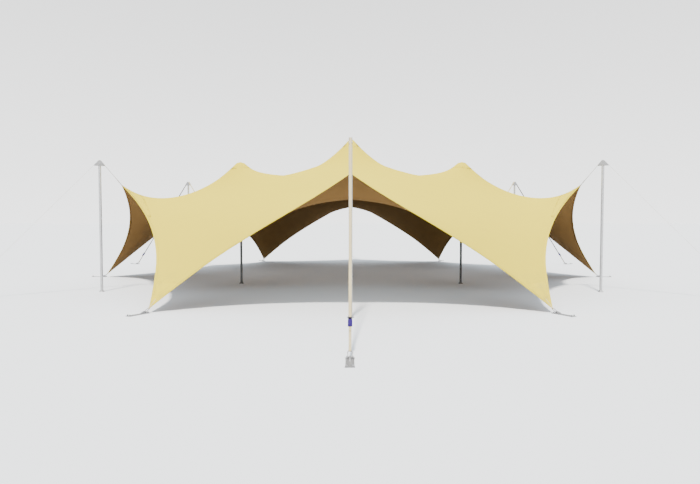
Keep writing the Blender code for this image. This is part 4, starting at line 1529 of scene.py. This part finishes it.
def make_seam(number, step):
    """A band along a ridge, laid on the sheet's own quads."""
    sector = step * fine_sectors // SPOKES
    rings = range(SEAM_START, fine_rings)
    lift = UP * LAID_GAP
    across = [[SEAM_HALF * share] * len(rings) for share in BAND_SHARES]
    places = [[beside_ridge(ring, sector, row[0]) + lift for ring in rings] for row in across]
    work, _ = grid_bmesh(places, across)
    seam = make_piece(f"canopy_seam_{number}", work, [cloth_sewn], crease=60.0)
    thicken(seam, SEAM_LAYER, offset=0.0)


for number, step in enumerate((0, 2, 4), start=1):
    make_seam(number, step)
print("seams", SEAM_HALF * 2.0, "m wide")

# %% [markdown]
# ## Patches
# Where the cloth is pulled hardest it has a second layer: a cap over the king pole, a
# round pad over each interior pole and a patch at each of the twelve corners. Each is cut
# out of a copy of the canopy's own sheet with planes, so it has the same curve, and is then
# lifted by the gap between two layers of cloth.

# %% Patches
PATCH_LIFT = 0.0011
PATCH_LENGTH = 0.42
PAD_RADIUS = 0.27
PAD_SIDES = 16
PAD_REACH = 0.9
PATCH_REACH = 1.6
SLIVER = 0.004


def make_patch(name, centre, reach, cuts):
    """A piece of the sheet near a centre, kept inside each cut: a point and its way out."""
    work = sheet.copy()
    far = [face for face in work.faces if (face.calc_center_median() - centre).length > reach]
    bmesh.ops.delete(work, geom=far, context="FACES")
    for point, outward in cuts:
        bmesh.ops.bisect_plane(work, geom=work.verts[:] + work.edges[:] + work.faces[:],
                               plane_co=point, plane_no=outward, clear_outer=True)
    bmesh.ops.remove_doubles(work, verts=work.verts, dist=SLIVER)
    work.normal_update()
    for vert in work.verts:
        vert.co.z += PATCH_LIFT / max(0.5, abs(vert.normal.z))
    patch = make_piece(name, work, [cloth_outside], crease=60.0)
    thicken(patch, LAYER, offset=0.0)


def round_cuts(centre, radius):
    """Upright cuts round a centre that leave a pad with many sides."""
    turns = [2.0 * math.pi * side / PAD_SIDES for side in range(PAD_SIDES)]
    directions = [Vector((math.cos(turn), math.sin(turn), 0.0)) for turn in turns]
    return [(centre + direction * radius, direction) for direction in directions]


crown = Vector((0.0, 0.0, KING_HEIGHT))
make_patch("crown_cap", crown, PAD_REACH, round_cuts(crown, PAD_RADIUS))
for number, step in enumerate(INNER_SPOKES, start=1):
    centre = on_spoke(INNER_TOP[0], step, INNER_TOP[1])
    make_patch(f"pole_pad_{number}", centre, PAD_REACH, round_cuts(centre, PAD_RADIUS))
for number in range(1, 2 * SPOKES + 1):
    step = (number - 1) / 2.0
    radius, height = RAISED_TIP if number % 2 else GROUND_TIP
    tip = on_spoke(radius, step, height)
    inward = -on_spoke(1.0, step, 0.0)
    make_patch(f"corner_patch_{number}", tip, PATCH_REACH, [(tip + inward * PATCH_LENGTH, inward)])
sheet.free()
print("one cap,", len(INNER_SPOKES), "pads and", 2 * SPOKES, "corner patches")

# %% [markdown]
# ## Corner tabs
# At each corner a tab of webbing is sewn on the outside of the cloth, passes round the
# link or the shackle's bow and comes back on the inside. The pull goes from the link into
# the tab and from its stitches into the patch, and never tears at a single hole. The
# tab's points are taken from the cloth's own net, so it folds over the ridge as the cloth
# does and is flat only where it turns round the bar.

# %% Corner tabs
TAB_HALF = 0.016
TAB_LENGTH = 0.20
TAB_SHARES = (1.0, 0.8, 0.6, 0.4, 0.2)
TAB_ABOVE = 0.0048
TAB_BELOW = 0.0072
NEAR_TIP = 0.02


def on_cloth(step, left, away):
    """A place on the cloth at a distance inwards from a corner and a distance sideways."""
    sector = round(step * fine_sectors / SPOKES)
    for ring in range(fine_rings, 0, -1):
        length = (net_point(ring - 1, sector) - net_point(ring, sector)).length
        if length >= left:
            break
        left -= length
    share = left / length
    outer, inner = beside_ridge(ring, sector, away), beside_ridge(ring - 1, sector, away)
    return outer * (1.0 - share) + inner * share


def tab_places(step, bar, bar_radius):
    """From the tab's inner end on top of the cloth, round the bar, to its end under the cloth."""
    radius = bar_radius + WEB_THICKNESS / 2.0 + SEAT_GAP
    near = on_cloth(step, NEAR_TIP, 0.0)
    base = math.atan2(bar.y - near.z, bar.x - math.hypot(*near.xy))
    turn = round_bar(bar, radius, base, -1.0)
    across = [TAB_HALF * share for share in BAND_SHARES]
    places = []
    for away in across:
        laid = [on_cloth(step, TAB_LENGTH * share, away) for share in TAB_SHARES]
        places.append([spot + UP * TAB_ABOVE for spot in laid]
                      + [beside_plane(spot, step, away) for spot in turn]
                      + [spot - UP * TAB_BELOW for spot in laid[::-1]])
    sewn = [1.0] * len(TAB_SHARES)
    return (places, [[away] * len(places[0]) for away in across],
            sewn + [0.0] * len(turn) + sewn)


corner_bars = ((link_end + link_run * LINK_BAR / 2.0, LINK_BAR / 2.0),
               (bow_bar(GROUND_TIP), BOW_BAR))
for number in range(1, 2 * SPOKES + 1):
    step = (number - 1) / 2.0
    make_band(f"corner_tab_{number}", *tab_places(step, *corner_bars[(number - 1) % 2]))
print("corner tabs", TAB_LENGTH, "m long")

# %% [markdown]
# ## Ground anchors
# The anchor plates, with their lugs, shackles and stake heads, already have their true
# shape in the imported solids, so they stay and only get a galvanised finish.

# %% Anchor finish
anchors = [item for name, item in frame["nodes"].items() if "anchor" in name]
for anchor in anchors:
    for material_slot in anchor.material_slots:
        material_slot.material = galvanised
print(len(anchors), "anchors galvanised")
